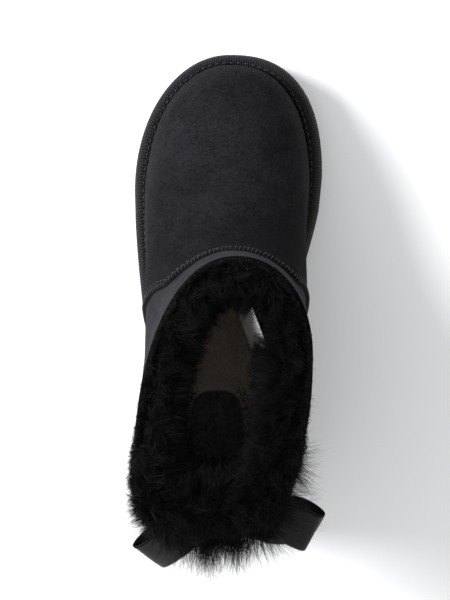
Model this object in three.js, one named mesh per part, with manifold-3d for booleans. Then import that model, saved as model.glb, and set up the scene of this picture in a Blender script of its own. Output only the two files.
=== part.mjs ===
// A left sheepskin ankle boot with a deep fur collar and a satin ribbon bow at the back of the shaft.
// Millimetres. +Z is up and +Y points at the toe, so +X is the inner side of a left boot. The origin lies on the
// floor under the middle of the heel. Points of the boot are placed by how far forward of the heel's back edge they
// lie, and how far across from the middle line, towards the inner side.
import * as THREE from "three";
import { mergeVertices } from "three/addons/utils/BufferGeometryUtils.js";
import Module from "manifold-3d";

const wasm = await Module();
wasm.setup();

// Sizes of the sole
const length = 265; // outsole, from the back of the heel to the tip of the toe
const ballWidth = 111; // outsole across the ball of the foot
const heelHeight = 23; // floor to the top of the outsole at the heel
const ballHeight = 15; // floor to the top of the outsole at the ball
const toeHeight = 21; // floor to the top of the outsole at the tip of the toe
const toeSpring = 8; // floor to the tread at the tip of the toe
const archLift = 2.5; // floor to the tread under the arch
const sideGroove = 1.2; // depth of the groove that runs round the outsole's side
const lugPitch = 15; // from one lug of the tread to the next
const lugGap = 5; // width of the channel between two lugs
const lugDepth = 3;
const lugSag = 9; // how far a channel bows towards the toe at the middle line
const insoleThickness = 5;

// Sizes of the upper
const instepHeight = 104; // floor to the top of the vamp, in front of the shaft
const collarHeight = 150; // floor to the cut edge of the collar
const wall = 2.4; // thickness of the skin
const overlay = 1.2; // how far the vamp and the heel counter stand proud of the shaft
const seamRidge = 0.9; // how far their sewn top edge stands proud of them
const seamWidth = 2.4;
const sideSeamWidth = 3; // the groove in which vamp and counter meet
const bindingHeight = 11.5;
const bindingInset = 0.6; // binding's outer face in from the outsole's edge

// Sizes of the fur at the collar
const pile = 16; // inside the collar, on the outer side
const innerPile = 21; // the same on the inner side
const pileTop = 9; // fur above the cut edge
const pileDepth = 50; // how far the thick fur reaches down inside
const frontLip = 1.2; // fur over the outside of the cut edge: in front, at the sides and at the back
const sideSpill = 5;
const backSpill = 13;
const lockCount = 66;
const lockWidth = 7.5; // a lock's width at its root

// Sizes of the ribbon bow
const ribbonWidth = 34;
const ribbonThickness = 0.9;
const knotWidth = 15;
const knotHeight = 25;
const knotDepth = 13;
const bowClearance = 5; // between the hanging fur and the knot below it
const loopGap = 9; // between the two layers of a loop
const loopHollow = 1.6; // how far a loop is dished across its width where it is gathered
const tailLength = 54;

// Sizes of the tag inside the collar
const tagWidth = 24;
const tagHeight = 34;
const tagThickness = 0.9;
const tagDrop = 4; // the tag's top edge below the cut edge of the collar
const tagLean = 9; // how far its lower edge stands off the fur

const gap = 0.3; // between two pieces that touch
const heelMiddle = 0.16 * length; // how far forward the origin lies

const { lerp, smoothstep } = THREE.MathUtils;
const { sin, cos, abs, min, max, pow, hypot, sign, PI } = Math;
const up = new THREE.Vector3(0, 0, 1);

// Turns short rows of numbers into objects with named columns.
function table(columns, rows) {
  return rows.map((row) => Object.fromEntries(columns.map((name, i) => [name, row[i]])));
}

// A smooth curve through the rows of a table, read at a place between two rows.
function rowAt(rows, key, place) {
  const last = rows.length - 1;
  const above = rows.findIndex((row) => row[key] > place);
  const i = above < 0 ? last - 1 : max(above - 1, 0);
  const span = rows[i + 1][key] - rows[i][key];
  const t = min(max((place - rows[i][key]) / span, 0), 1);
  const slope = (k, name) => {
    const [before, after] = [rows[max(k - 1, 0)], rows[min(k + 1, last)]];
    return (span * (after[name] - before[name])) / (after[key] - before[key]);
  };
  const blend = (name) =>
    rows[i][name] * (2 * t ** 3 - 3 * t ** 2 + 1) +
    slope(i, name) * (t ** 3 - 2 * t ** 2 + t) +
    rows[i + 1][name] * (3 * t ** 2 - 2 * t ** 3) +
    slope(i + 1, name) * (t ** 3 - t ** 2);
  return Object.fromEntries(Object.keys(rows[i]).map((name) => [name, blend(name)]));
}

// Heights of the outsole along its length, which is given as a share of the length.
const soleHeights = table(
  ["forward", "top", "tread"],
  [
    [0.0, heelHeight, 0],
    [0.14, heelHeight, 0],
    [0.28, lerp(heelHeight, ballHeight, 0.08), 0],
    [0.42, lerp(heelHeight, ballHeight, 0.42), archLift],
    [0.55, lerp(heelHeight, ballHeight, 0.86), 0],
    [0.66, ballHeight, 0],
    [0.76, ballHeight, 0],
    [0.88, lerp(ballHeight, toeHeight, 0.4), 0.34 * toeSpring],
    [1.0, toeHeight, toeSpring],
  ],
);
const soleTop = (forward) => rowAt(soleHeights, "forward", forward / length).top;
const soleTread = (forward) => max(rowAt(soleHeights, "forward", forward / length).tread, 0);

// Outlines of the upper, seen from above. Places along the boot are shares of its length, and widths are shares of
// half the ball width.
//   level      0 at the outsole, 1 at the instep's height, 2 at the collar
//   front, tip    how far forward the outline's tip lies, and how far across
//   outer, outerAt, outerHeel    widest point on the outer side, where it lies, and the width at the heel
//   inner, innerAt, innerHeel    the same on the inner side
//   arch       how far the inner side draws in at the arch
//   back       back of the outline
//   square     how square the heel is, where 2 is an ellipse
const outlineColumns = [
  "level", "front", "tip", "outer", "outerAt", "outerHeel", "inner", "innerAt", "innerHeel", "arch", "back", "square",
];
const sections = table(outlineColumns, [
  [0.0, 0.965, 0.02, 0.818, 0.7, 0.64, 0.832, 0.728, 0.64, 0.19, 0.034, 4.4],
  [0.12, 0.97, 0.02, 0.836, 0.694, 0.67, 0.848, 0.717, 0.665, 0.175, 0.023, 4.2],
  [0.26, 0.963, 0.02, 0.834, 0.68, 0.69, 0.846, 0.7, 0.685, 0.13, 0.016, 4.0],
  [0.39, 0.934, 0.025, 0.818, 0.636, 0.71, 0.832, 0.664, 0.705, 0.06, 0.013, 3.8],
  [0.52, 0.868, 0.03, 0.8, 0.568, 0.725, 0.824, 0.604, 0.72, 0.01, 0.014, 3.6],
  [0.62, 0.788, 0.045, 0.79, 0.487, 0.745, 0.822, 0.532, 0.74, 0, 0.016, 3.4],
  [0.74, 0.701, 0.06, 0.79, 0.396, 0.765, 0.83, 0.462, 0.76, 0, 0.02, 3.3],
  [0.87, 0.628, 0.08, 0.797, 0.318, 0.785, 0.846, 0.415, 0.785, 0, 0.023, 3.2],
  [1.0, 0.576, 0.1, 0.808, 0.244, 0.805, 0.866, 0.385, 0.81, 0, 0.024, 3.1],
  [1.3, 0.557, 0.125, 0.817, 0.18, 0.817, 0.884, 0.362, 0.835, 0, 0.021, 3.0],
  [1.66, 0.547, 0.15, 0.825, 0.134, 0.825, 0.9, 0.347, 0.855, 0, 0.017, 2.9],
  [2.0, 0.542, 0.165, 0.83, 0.106, 0.83, 0.91, 0.34, 0.87, 0, 0.013, 2.8],
]);
const [outsoleEdge] = table(outlineColumns, [
  [0, 1, 0.02, 0.993, 0.7, 0.775, 1.005, 0.73, 0.785, 0.165, 0, 4.4],
]);

// A level as a rise: the share of the way up from the outsole to the collar.
const instepRise = (instepHeight - ballHeight) / (collarHeight - ballHeight);
const riseOf = (level) => (level < 1 ? level * instepRise : lerp(instepRise, 1, level - 1));
for (const row of sections) row.rise = riseOf(row.level);

// The sewn top edge of the vamp and of the heel counter, by turn: the share of the way round from the tip of the
// toe, where 0.5 is the back of the heel. It dips to the side seam, where the two of them meet.
const sideSeamTurn = 0.322;
const seamEdge = table(
  ["turn", "level"],
  [
    [0.0, 1.2],
    [0.045, 1.18],
    [0.09, 1.08],
    [0.14, 0.91],
    [0.23, 0.65],
    [0.285, 0.48],
    [sideSeamTurn, 0.33],
    [0.36, 0.41],
    [0.42, 0.5],
    [0.5, 0.54],
  ],
);
const seamRise = (turn) => riseOf(rowAt(seamEdge, "turn", min(turn, 1 - turn)).level);

// One side of an outline, tip to heel, as [across, forward] points. The inner side of the toe is the squarer one,
// because the big toe fills it.
function outlineSide(row, side) {
  const inner = side > 0;
  const widest = side * (inner ? row.inner : row.outer);
  const heel = side * (inner ? row.innerHeel : row.outerHeel);
  const at = inner ? row.innerAt : row.outerAt;
  const low = max(1 - row.level, 0);
  const toeSquare = inner ? 2.1 + 0.4 * low : 2.1 - 0.1 * low;
  const steps = 60;
  const points = [];
  for (let i = 0; i <= steps; i++) {
    const angle = ((i / steps) * PI) / 2;
    const out = pow(sin(angle), 2 / toeSquare);
    const on = pow(cos(angle), 2 / toeSquare);
    points.push([lerp(row.tip, widest, out), lerp(at, row.front, on)]);
  }
  for (let i = 1; i <= steps; i++) {
    const angle = ((i / steps) * PI) / 2;
    const out = pow(cos(angle), 2 / row.square);
    const on = pow(sin(angle), 2 / row.square);
    const arch = inner ? row.arch * pow(sin(PI * min(on / 0.76, 1)), 2) : 0;
    const width = lerp(widest, heel, smoothstep(on, 0, 0.85)) - arch;
    points.push([width * out, lerp(at, row.back, on)]);
  }
  return points.map(([across, forward]) => [(across * ballWidth) / 2, forward * length]);
}

// Points spaced evenly along a line of points.
function spaced(points, count) {
  const along = [0];
  for (let i = 1; i < points.length; i++) {
    along.push(along[i - 1] + hypot(points[i][0] - points[i - 1][0], points[i][1] - points[i - 1][1]));
  }
  let k = 1;
  return Array.from({ length: count + 1 }, (_, i) => {
    const want = (along[along.length - 1] * i) / count;
    while (k < points.length - 1 && along[k] < want) k++;
    const t = min((want - along[k - 1]) / (along[k] - along[k - 1]), 1);
    return [0, 1].map((axis) => lerp(points[k - 1][axis], points[k][axis], t));
  });
}

// A closed outline of points, each side evenly spaced: from the tip of the toe down the outer side, round the heel
// and back up the inner side.
function outline(row) {
  const perSide = 120;
  const outer = spaced(outlineSide(row, -1), perSide);
  const inner = spaced(outlineSide(row, 1), perSide).reverse();
  return [...outer.slice(0, -1), ...inner.slice(0, -1)];
}

// The outline's point at a turn, moved out square to the outline.
function outlinePoint(points, turn, out = 0) {
  const at = (place) => {
    const whole = (place - Math.floor(place)) * points.length;
    const i = Math.floor(whole);
    const [a, b] = [points[i % points.length], points[(i + 1) % points.length]];
    return [lerp(a[0], b[0], whole - i), lerp(a[1], b[1], whole - i)];
  };
  const [across, forward] = at(turn);
  const step = 0.005;
  const [before, after] = [at(turn - step), at(turn + step)];
  const size = hypot(after[0] - before[0], after[1] - before[1]);
  return [across + (out * (after[1] - before[1])) / size, forward - (out * (after[0] - before[0])) / size];
}

// A point of the shaft's own surface.
const outlines = new Map();
function outlineAt(rise) {
  const name = rise.toFixed(6);
  if (!outlines.has(name)) outlines.set(name, outline(rowAt(sections, "rise", rise)));
  return outlines.get(name);
}
function lastPoint(turn, rise) {
  const [across, forward] = outlinePoint(outlineAt(rise), turn);
  const foot = soleTop(forward) + gap;
  return new THREE.Vector3(across, forward - heelMiddle, lerp(foot, collarHeight, rise));
}

// The same point moved out, square to the surface. Both cut edges of the upper are level across the wall.
function upperPoint(turn, rise, out) {
  const along = lastPoint(turn + 0.006, rise).sub(lastPoint(turn - 0.006, rise));
  const upward = lastPoint(turn, min(rise + 0.012, 1)).sub(lastPoint(turn, max(rise - 0.012, 0)));
  const normal = along.cross(upward);
  if (rise === 0 || rise === 1) normal.z = 0;
  return lastPoint(turn, rise).addScaledVector(normal.normalize(), out);
}

// The turns at which the meshes have their points: closer together round the toe and the heel than along the sides,
// with the side seams' own turns among them. Pieces that lie on the upper share its turns, so that their faces
// follow its faces.
const seamHalfTurn = sideSeamWidth / 2 / (2.1 * length);
const seamSteps = [-seamHalfTurn, 0, seamHalfTurn].flatMap((step) => [sideSeamTurn + step, 1 - sideSeamTurn - step]);
const columns = 44;
const closer = 0.38; // how much closer together than on average
const drawn = (turn) => turn - (closer * sin(4 * PI * turn)) / (4 * PI);
const evenTurns = Array.from({ length: columns }, (_, i) => drawn(i / columns));
const turns = [...evenTurns, ...seamSteps].sort((a, b) => a - b);

// Points and faces as a solid with its faces pointing out.
function solid(points, faces) {
  const volume = faces.reduce((sum, [a, b, c]) => {
    return sum + points[a].dot(new THREE.Vector3().crossVectors(points[b], points[c]));
  }, 0);
  const outward = volume > 0 ? faces : faces.map(([a, b, c]) => [a, c, b]);
  const mesh = new wasm.Mesh({
    numProp: 3,
    vertProperties: new Float32Array(points.flatMap((point) => point.toArray())),
    triVerts: new Uint32Array(outward.flat()),
  });
  return new wasm.Manifold(mesh);
}

// A closed solid through rings of points. A loop of rings closes on itself. A stack is closed at both ends by strips
// that join each point of the end ring to the one across from it. The rings of a thin sheet go along one face and
// back along the other, and the second face is split the other way, so that both of them bend alike.
function loft(rings, { loop = false, sheet = false } = {}) {
  const count = rings[0].length;
  const faces = [];
  const strips = loop ? rings.length : rings.length - 1;
  for (let k = 0; k < strips; k++) {
    const [here, next] = [k * count, ((k + 1) % rings.length) * count];
    for (let i = 0; i < count; i++) {
      const j = (i + 1) % count;
      const [p, q, r, s] = [here + i, here + j, next + j, next + i];
      if (sheet && i >= count / 2) faces.push([p, q, s], [q, r, s]);
      else faces.push([p, q, r], [p, r, s]);
    }
  }
  const last = (rings.length - 1) * count;
  for (let i = 0; !loop && i < count / 2; i++) {
    const [a, b, c, d] = [i, i + 1, count - i - 1, (count - i) % count];
    for (const [p, q, r] of [[a, b, c], [a, c, d]]) {
      if (p === q || q === r || p === r) continue;
      faces.push([r, q, p], [last + p, last + q, last + r]);
    }
  }
  return solid(rings.flat(), faces);
}

// A geometry of three.js as a solid.
function fromGeometry(geometry) {
  geometry.deleteAttribute("normal");
  geometry.deleteAttribute("uv");
  const merged = mergeVertices(geometry, 1e-4);
  const mesh = new wasm.Mesh({
    numProp: 3,
    vertProperties: new Float32Array(merged.attributes.position.array),
    triVerts: new Uint32Array(merged.index.array),
  });
  return new wasm.Manifold(mesh);
}

// A solid as a mesh with its own material.
function meshOf(name, manifold, { colour, roughness, metalness = 0 }) {
  const { vertProperties, triVerts } = manifold.getMesh();
  const geometry = new THREE.BufferGeometry();
  geometry.setAttribute("position", new THREE.BufferAttribute(new Float32Array(vertProperties), 3));
  geometry.setIndex(new THREE.BufferAttribute(new Uint32Array(triVerts), 1));
  geometry.computeVertexNormals();
  const mesh = new THREE.Mesh(geometry, new THREE.MeshStandardMaterial({ color: colour, roughness, metalness }));
  mesh.name = name;
  return mesh;
}

// The outsole's side, from the top edge down: height as a share of the thickness, and how far in it lies.
const outsoleSide = table(
  ["height", "inset"],
  [
    [1, 0.5],
    [0.94, 0],
    [0.8, 0],
    [0.74, sideGroove],
    [0.64, sideGroove],
    [0.58, 0],
    [0.2, 0],
    [0.05, 0.9],
    [0, 2.6],
  ],
);
function outsole() {
  const edge = outline(outsoleEdge);
  const rings = outsoleSide.map(({ height, inset }) =>
    turns.map((turn) => {
      const [across, forward] = outlinePoint(edge, turn, -inset);
      const z = lerp(soleTread(forward), soleTop(forward), height);
      return new THREE.Vector3(across, forward - heelMiddle, z);
    }),
  );
  const first = -Math.floor(heelMiddle / lugPitch) + 1;
  const last = Math.floor((length - heelMiddle) / lugPitch) - 1;
  const channels = [];
  for (let i = first; i < last; i++) channels.push(channel(heelMiddle + (i + 0.5) * lugPitch));
  return loft(rings).subtract(wasm.Manifold.union(channels));
}

// A channel of the tread: an arc across the sole that bows towards the toe.
function channel(forward) {
  const half = 0.56 * ballWidth;
  const radius = (half * half + lugSag * lugSag) / (2 * lugSag);
  const spread = Math.asin(half / radius);
  const shape = new THREE.Shape();
  shape.absarc(0, 0, radius + lugGap / 2, PI / 2 - spread, PI / 2 + spread, false);
  shape.absarc(0, 0, radius - lugGap / 2, PI / 2 + spread, PI / 2 - spread, true);
  const below = 2;
  const depth = below + soleTread(forward) + lugDepth;
  const geometry = new THREE.ExtrudeGeometry(shape, { depth, bevelEnabled: false, curveSegments: 8 });
  geometry.translate(0, forward - heelMiddle - radius, -below);
  return fromGeometry(geometry);
}

// The insole lies on the outsole inside the upper, with a rounded top edge.
const insoleSide = table(
  ["height", "inset"],
  [
    [0, 0],
    [0.7, 0],
    [1, 1],
  ],
);
function insole() {
  const rings = insoleSide.map(({ height, inset }) =>
    turns.map((turn) => {
      const [across, forward] = outlinePoint(outlineAt(0), turn, -wall - gap - inset);
      return new THREE.Vector3(across, forward - heelMiddle, soleTop(forward) + gap + height * insoleThickness);
    }),
  );
  return loft(rings);
}

// The binding fills the corner between the upper and the outsole's edge, with a rounded top.
const bindingOutside = table(
  ["height", "inset"],
  [
    [0, 0],
    [0.62, 0],
    [0.9, 1.2],
    [1, 2.8],
  ],
);
function binding() {
  const edge = outline(outsoleEdge);
  const outside = bindingOutside.map(({ height, inset }) =>
    turns.map((turn) => {
      const [across, forward] = outlinePoint(edge, turn, -bindingInset - inset);
      return new THREE.Vector3(across, forward - heelMiddle, soleTop(forward) + gap + height * bindingHeight);
    }),
  );
  const inside = [1, 0.5, 0].map((height) =>
    turns.map((turn) => {
      const point = upperPoint(turn, (height * bindingHeight) / (collarHeight - heelHeight), overlay + gap);
      point.z = soleTop(point.y + heelMiddle) + gap + height * bindingHeight;
      return point;
    }),
  );
  return loft([...outside, ...inside], { loop: true });
}

// The upper: its outside from the outsole up over the sewn edge to the collar, then its inside back down.
function upper() {
  const onSideSeam = (turn) => abs(min(turn, 1 - turn) - sideSeamTurn) < seamHalfTurn / 2;
  const halfSeam = seamWidth / 2 / (collarHeight - heelHeight);
  const [below, above, inside] = [11, 8, 11];
  const rings = [];
  for (let k = 0; k <= below; k++) {
    rings.push(
      turns.map((turn) => {
        const rise = ((seamRise(turn) - halfSeam) * k) / below;
        return upperPoint(turn, rise, onSideSeam(turn) ? 0 : overlay);
      }),
    );
  }
  rings.push(turns.map((turn) => upperPoint(turn, seamRise(turn), overlay + seamRidge)));
  for (let k = 0; k <= above; k++) {
    rings.push(turns.map((turn) => upperPoint(turn, lerp(seamRise(turn) + halfSeam, 1, k / above), 0)));
  }
  for (let k = inside; k >= 0; k--) {
    rings.push(turns.map((turn) => upperPoint(turn, k / inside, -wall)));
  }
  return loft(rings, { loop: true });
}

// A point at the collar: out from the shaft's surface, and down from the cut edge.
function collarPoint(turn, out, drop) {
  const foot = soleTop(lastPoint(turn, 1).y + heelMiddle) + gap;
  const point = upperPoint(turn, 1 - max(drop, 0) / (collarHeight - foot), out);
  point.z -= min(drop, 0);
  return point;
}

// How far the fur spills out over the cut edge, and how thick it lies inside.
function spillAt(turn) {
  const t = min(turn, 1 - turn);
  const toSide = lerp(frontLip, sideSpill, smoothstep(t, 0.13, 0.27));
  return lerp(toSide, backSpill, smoothstep(t, 0.37, 0.48));
}
function pileAt(turn) {
  return lerp(pile, innerPile, smoothstep(turn, 0.52, 0.72) - smoothstep(turn, 0.92, 1));
}
const flapPerSpill = 1.4; // how far the fur hangs down for what it stands out

// The fur lies over the cut edge like a saddle. Its outside goes from the hem up, in shares of the spill and of the
// length that it hangs down. Its inside goes from the top down, in shares of the pile, of the height above the cut
// edge and of the depth inside.
const furOutside = table(
  ["out", "drop"],
  [
    [0.55, 1],
    [1, 0.6],
    [1.02, 0.1],
  ],
);
const furInside = table(
  ["pile", "rise", "drop"],
  [
    [0, 1, 0],
    [0.45, 0.95, 0],
    [0.82, 0.5, 0],
    [1, 0, 0.1],
    [1.04, 0, 0.35],
    [1, 0, 0.7],
    [0.7, 0, 0.95],
    [0.3, 0, 1],
  ],
);
function furSection(turn) {
  const [spill, thick] = [spillAt(turn), pileAt(turn)];
  const flap = flapPerSpill * spill;
  const outside = furOutside.map(({ out, drop }) => [gap + out * spill, drop * flap]);
  const shoulder = [gap + 0.6 * spill, -0.7 * pileTop];
  const inside = furInside.map((row) => [-wall - row.pile * thick, row.drop * pileDepth - row.rise * pileTop]);
  const onWall = [
    ...[0.97, 0.75, 0.5, 0.25].map((share) => [-wall - 2 * gap, share * pileDepth]),
    [-wall - gap, -gap],
    [gap, -gap],
    [gap, flap],
  ];
  return [...outside, shoulder, ...inside, ...onWall];
}
function furBody() {
  const rings = turns.map((turn) => furSection(turn).map(([out, drop]) => collarPoint(turn, out, drop)));
  return loft(rings, { loop: true });
}

// A lock of fur: bent, three-sided and tapering from its root to its tip.
function lock(root, bend, tip, width) {
  const along = tip.clone().sub(root).normalize();
  const side = along.clone().cross(up).setLength(width / 2);
  const thick = along.clone().cross(side).multiplyScalar(0.8);
  const corners = [side, side.clone().negate(), thick];
  const ring = (centre, size) => corners.map((corner) => centre.clone().addScaledVector(corner, size));
  return loft([ring(root, 1), ring(bend, 0.85), ring(tip, 0.12)]);
}

// Locks stand all round the collar. They hang out over the sides and the back, longest at the back, and lean in
// over the opening elsewhere. Their uneven scatter comes from steps that never fall together.
const scatter = (i, step) => (i * step) % 1;
function furLock(i) {
  const turn = (i + 0.6 * scatter(i, 0.618)) / lockCount;
  const [spill, thick] = [spillAt(turn), pileAt(turn)];
  const reach = 0.75 + 0.5 * scatter(i, 0.414);
  const width = lockWidth * lerp(0.8, 1.2, scatter(i, 0.732));
  if (i % 3 === 0 || spill < 0.7 * sideSpill) {
    const start = -wall - thick * lerp(0.35, 0.75, scatter(i, 0.532));
    const root = collarPoint(turn, start, -0.3 * pileTop);
    const bend = collarPoint(turn + 0.004, start - 0.12 * thick * reach, -0.95 * pileTop);
    const tip = collarPoint(turn + 0.008, start - 0.42 * thick * reach, -1.25 * pileTop * reach);
    return lock(root, bend, tip, width);
  }
  const long = spill * lerp(0.9, 1.5, smoothstep(spill, sideSpill, backSpill)) * reach;
  const hang = 0.55 * flapPerSpill * spill * scatter(i, 0.87);
  const root = collarPoint(turn, 0.2 * spill, -0.45 * pileTop);
  const bend = collarPoint(turn + 0.003, 0.55 * spill + 0.55 * long, -0.3 * pileTop);
  const tip = collarPoint(turn + 0.006, 0.3 * spill + 1.15 * long, hang);
  return lock(root, bend, tip, width);
}

// The fur's outer skin alone: a pocket shut in between two locks is filled.
function furCollar() {
  const locks = Array.from({ length: lockCount }, (_, i) => furLock(i));
  const skins = wasm.Manifold.union([furBody(), ...locks]).decompose();
  return skins.reduce((largest, skin) => (skin.volume() > largest.volume() ? skin : largest));
}

// A point near the back of the shaft: along it from the back seam towards the inner side, out from its surface, and
// above or below the middle of the bow.
const bowHeight = collarHeight - flapPerSpill * backSpill - bowClearance - knotHeight / 2;
const riseAtBack = (height) => (height - heelHeight - gap) / (collarHeight - heelHeight - gap);
const bowGirth = outlineAt(riseAtBack(bowHeight)).reduce((sum, [x, y], i, points) => {
  const [nextX, nextY] = points[(i + 1) % points.length];
  return sum + hypot(nextX - x, nextY - y);
}, 0);
function bowPoint(along, out, above) {
  const point = upperPoint(0.5 + along / bowGirth, riseAtBack(bowHeight + above), out);
  point.z = bowHeight + above;
  return point;
}

// The knot: a rounded bundle of ribbon against the back of the shaft, drawn in at its top and bottom.
const knotRows = table(
  ["height", "size"],
  [
    [-0.5, 0.5],
    [-0.44, 0.78],
    [-0.28, 0.95],
    [0, 1],
    [0.28, 0.95],
    [0.44, 0.78],
    [0.5, 0.5],
  ],
);
function bowKnot() {
  const sides = 14;
  const rings = knotRows.map(({ height, size }) =>
    Array.from({ length: sides }, (_, i) => {
      const angle = (i / sides) * 2 * PI;
      const across = sign(sin(angle)) * pow(abs(sin(angle)), 0.7);
      const out = gap + (knotDepth * (1 + size * cos(angle))) / 2;
      return bowPoint((across * size * knotWidth) / 2, out - ((1 - size) * knotDepth) / 2, height * knotHeight);
    }),
  );
  return loft(rings);
}

// A strip of ribbon through points, with the direction of its width and the depth of its hollow at each of them. The
// ends of a strip that isn't a loop are cut level.
const ribbonCorners = [[1, 1, 0], [0, 1, 1], [-1, 1, 0], [-1, -1, 0], [0, -1, 1], [1, -1, 0]];
function ribbon(points, widths, hollows, loop) {
  const last = points.length - 1;
  const rings = points.map((point, i) => {
    const before = points[loop ? (i + last) % points.length : max(i - 1, 0)];
    const after = points[loop ? (i + 1) % points.length : min(i + 1, last)];
    const normal = after.clone().sub(before).cross(widths[i]).normalize();
    return ribbonCorners.map(([side, face, middle]) => {
      const lift = (face * ribbonThickness) / 2 + middle * hollows[i];
      const corner = point.clone().addScaledVector(widths[i], side).addScaledVector(normal, lift);
      if (!loop && i % last === 0) corner.z = point.z;
      return corner;
    });
  });
  return loft(rings, { loop, sheet: true });
}

// The route of each loop, knot to fold: along the shaft and out from it, and above the bow's middle, all as shares
// of the ribbon's width. The inner side's loop points the other way.
const routeColumns = ["along", "out", "above"];
const innerRoute = table(routeColumns, [
  [0.265, 0.24, 0],
  [0.58, 0.37, 0.05],
  [0.855, 0.53, 0.09],
  [0.94, 0.93, 0.09],
]);
const outerRoute = table(routeColumns, [
  [-0.262, 0.24, 0],
  [-0.48, 0.38, 0.02],
  [-0.665, 0.63, 0],
  [-0.79, 1.04, -0.04],
]);
function bowLoop(route, tilt) {
  const side = sign(route[0].along);
  const curve = new THREE.CatmullRomCurve3(
    route.map(({ along, out, above }) => bowPoint(along * ribbonWidth, out * ribbonWidth, above * ribbonWidth)),
  );
  const steps = 22;
  const points = [];
  const widths = [];
  const hollows = [];
  for (let i = 0; i < steps; i++) {
    const angle = ((i + 0.5) / steps) * 2 * PI;
    const t = (1 - cos(angle)) / 2;
    const tangent = curve.getTangent(t);
    const level = up.clone().cross(tangent).normalize();
    const width = level.multiplyScalar(cos(tilt) * side).addScaledVector(up, sin(tilt));
    width.addScaledVector(tangent, -width.dot(tangent));
    width.setLength((ribbonWidth / 2) * lerp(0.45, 1, smoothstep(t, 0, 0.55)));
    const layer = tangent.clone().cross(width).setLength((loopGap / 2) * sin(angle) * lerp(0.35, 1, t));
    points.push(curve.getPoint(t).add(layer));
    widths.push(width);
    hollows.push(lerp(loopHollow, 0, t));
  }
  return ribbon(points, widths, hollows, true);
}

// A tail hangs from under the knot, slants outwards and spreads to nearly the ribbon's full width.
const tailRoute = table(
  ["along", "out", "drop", "width", "hollow"],
  [
    [0.17, 0.12, 0, 0.32, 0.05],
    [0.25, 0.15, 0.2, 0.52, 0.045],
    [0.38, 0.19, 0.5, 0.78, 0.03],
    [0.52, 0.21, 0.8, 0.88, 0.04],
    [0.6, 0.22, 1, 0.9, 0.02],
  ],
);
const tailSteps = 8;
function bowTail(side) {
  const rows = Array.from({ length: tailSteps + 1 }, (_, i) => rowAt(tailRoute, "drop", i / tailSteps));
  const top = -knotHeight / 2 - gap;
  const place = ({ along, out, drop }) =>
    bowPoint(side * along * ribbonWidth, out * ribbonWidth, top - drop * tailLength);
  const points = rows.map(place);
  const widths = rows.map((row, i) => {
    const before = rows[max(i - 1, 0)];
    const after = rows[min(i + 1, tailSteps)];
    const outward = place({ ...row, out: row.out + 1 }).sub(points[i]);
    const down = place(after).sub(place(before)).normalize();
    return down.clone().cross(outward).setLength((row.width * ribbonWidth) / 2);
  });
  const hollows = rows.map((row) => side * row.hollow * ribbonWidth);
  return ribbon(points, widths, hollows, false);
}

// The tag hangs against the fur inside the collar, on the inner side of the boot.
const tagTurn = 0.868;
const tagRows = table(
  ["drop", "lean"],
  [
    [0, 0],
    [0.5, 0.42],
    [1, 1],
  ],
);
function sizeTag() {
  const facing = collarPoint(tagTurn, -1, tagDrop).sub(collarPoint(tagTurn, 0, tagDrop));
  facing.z = 0;
  facing.normalize();
  const along = up.clone().cross(facing);
  const middle = collarPoint(tagTurn, -wall - pileAt(tagTurn), tagDrop);
  const near = turns.filter((turn) => abs(turn - tagTurn) < tagWidth / 2 / bowGirth + 2 / columns);
  const furPoints = near.flatMap((turn) => furSection(turn).map(([out, drop]) => collarPoint(turn, out, drop)));
  const reach = max(
    ...furPoints.map((point) => {
      const drop = (collarHeight - tagDrop - point.z) / tagHeight;
      const { lean } = rowAt(tagRows, "drop", min(max(drop, 0), 1));
      return point.sub(middle).dot(facing) - lean * tagLean;
    }),
  );
  const seat = middle.clone().addScaledVector(facing, reach + gap + tagThickness / 2);
  const rings = tagRows.map(({ drop, lean }) =>
    [[1, 1], [-1, 1], [-1, -1], [1, -1]].map(([side, face]) => {
      const point = seat.clone().addScaledVector(along, (side * tagWidth) / 2);
      point.addScaledVector(facing, lean * tagLean + (face * tagThickness) / 2);
      point.z = collarHeight - tagDrop - drop * tagHeight;
      return point;
    }),
  );
  return loft(rings);
}

const foamRubber = { colour: 0x2b2a29, roughness: 0.75 };
const suede = { colour: 0x2f2d2e, roughness: 0.95 };
const blackFur = { colour: 0x161516, roughness: 1 };
const woolPile = { colour: 0x8b7c6c, roughness: 1 };
const wovenTape = { colour: 0x232224, roughness: 0.85 };
const satin = { colour: 0x1b1a1c, roughness: 0.35 };
const paleCloth = { colour: 0xd9d8d4, roughness: 0.8 };

const boot = new THREE.Group();
boot.add(
  meshOf("outsole", outsole(), foamRubber),
  meshOf("insole", insole(), woolPile),
  meshOf("binding", binding(), wovenTape),
  meshOf("upper", upper(), suede),
  meshOf("fur_collar", furCollar(), blackFur),
  meshOf("bow_knot", bowKnot(), satin),
  meshOf("bow_loop_inner", bowLoop(innerRoute, (45 * PI) / 180), satin),
  meshOf("bow_loop_outer", bowLoop(outerRoute, (55 * PI) / 180), satin),
  meshOf("bow_tail_inner", bowTail(1), satin),
  meshOf("bow_tail_outer", bowTail(-1), satin),
  meshOf("size_tag", sizeTag(), paleCloth),
);

export default boot;
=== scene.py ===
# A left sheepskin ankle boot seen from above: napped suede, woven binding, deep black fur and a satin ribbon bow.
# Sizes are in millimetres, as the boot's maker gives them, and every mesh is made in metres at its place.
# A point of the upper is found by turn and rise: turn goes once round from the tip of the toe by the outer side,
# with 0.5 at the back of the heel, and rise goes from 0 at the outsole to 1 at the cut edge of the collar.
import bpy
import numpy as np
from mathutils import Matrix, Vector


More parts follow.
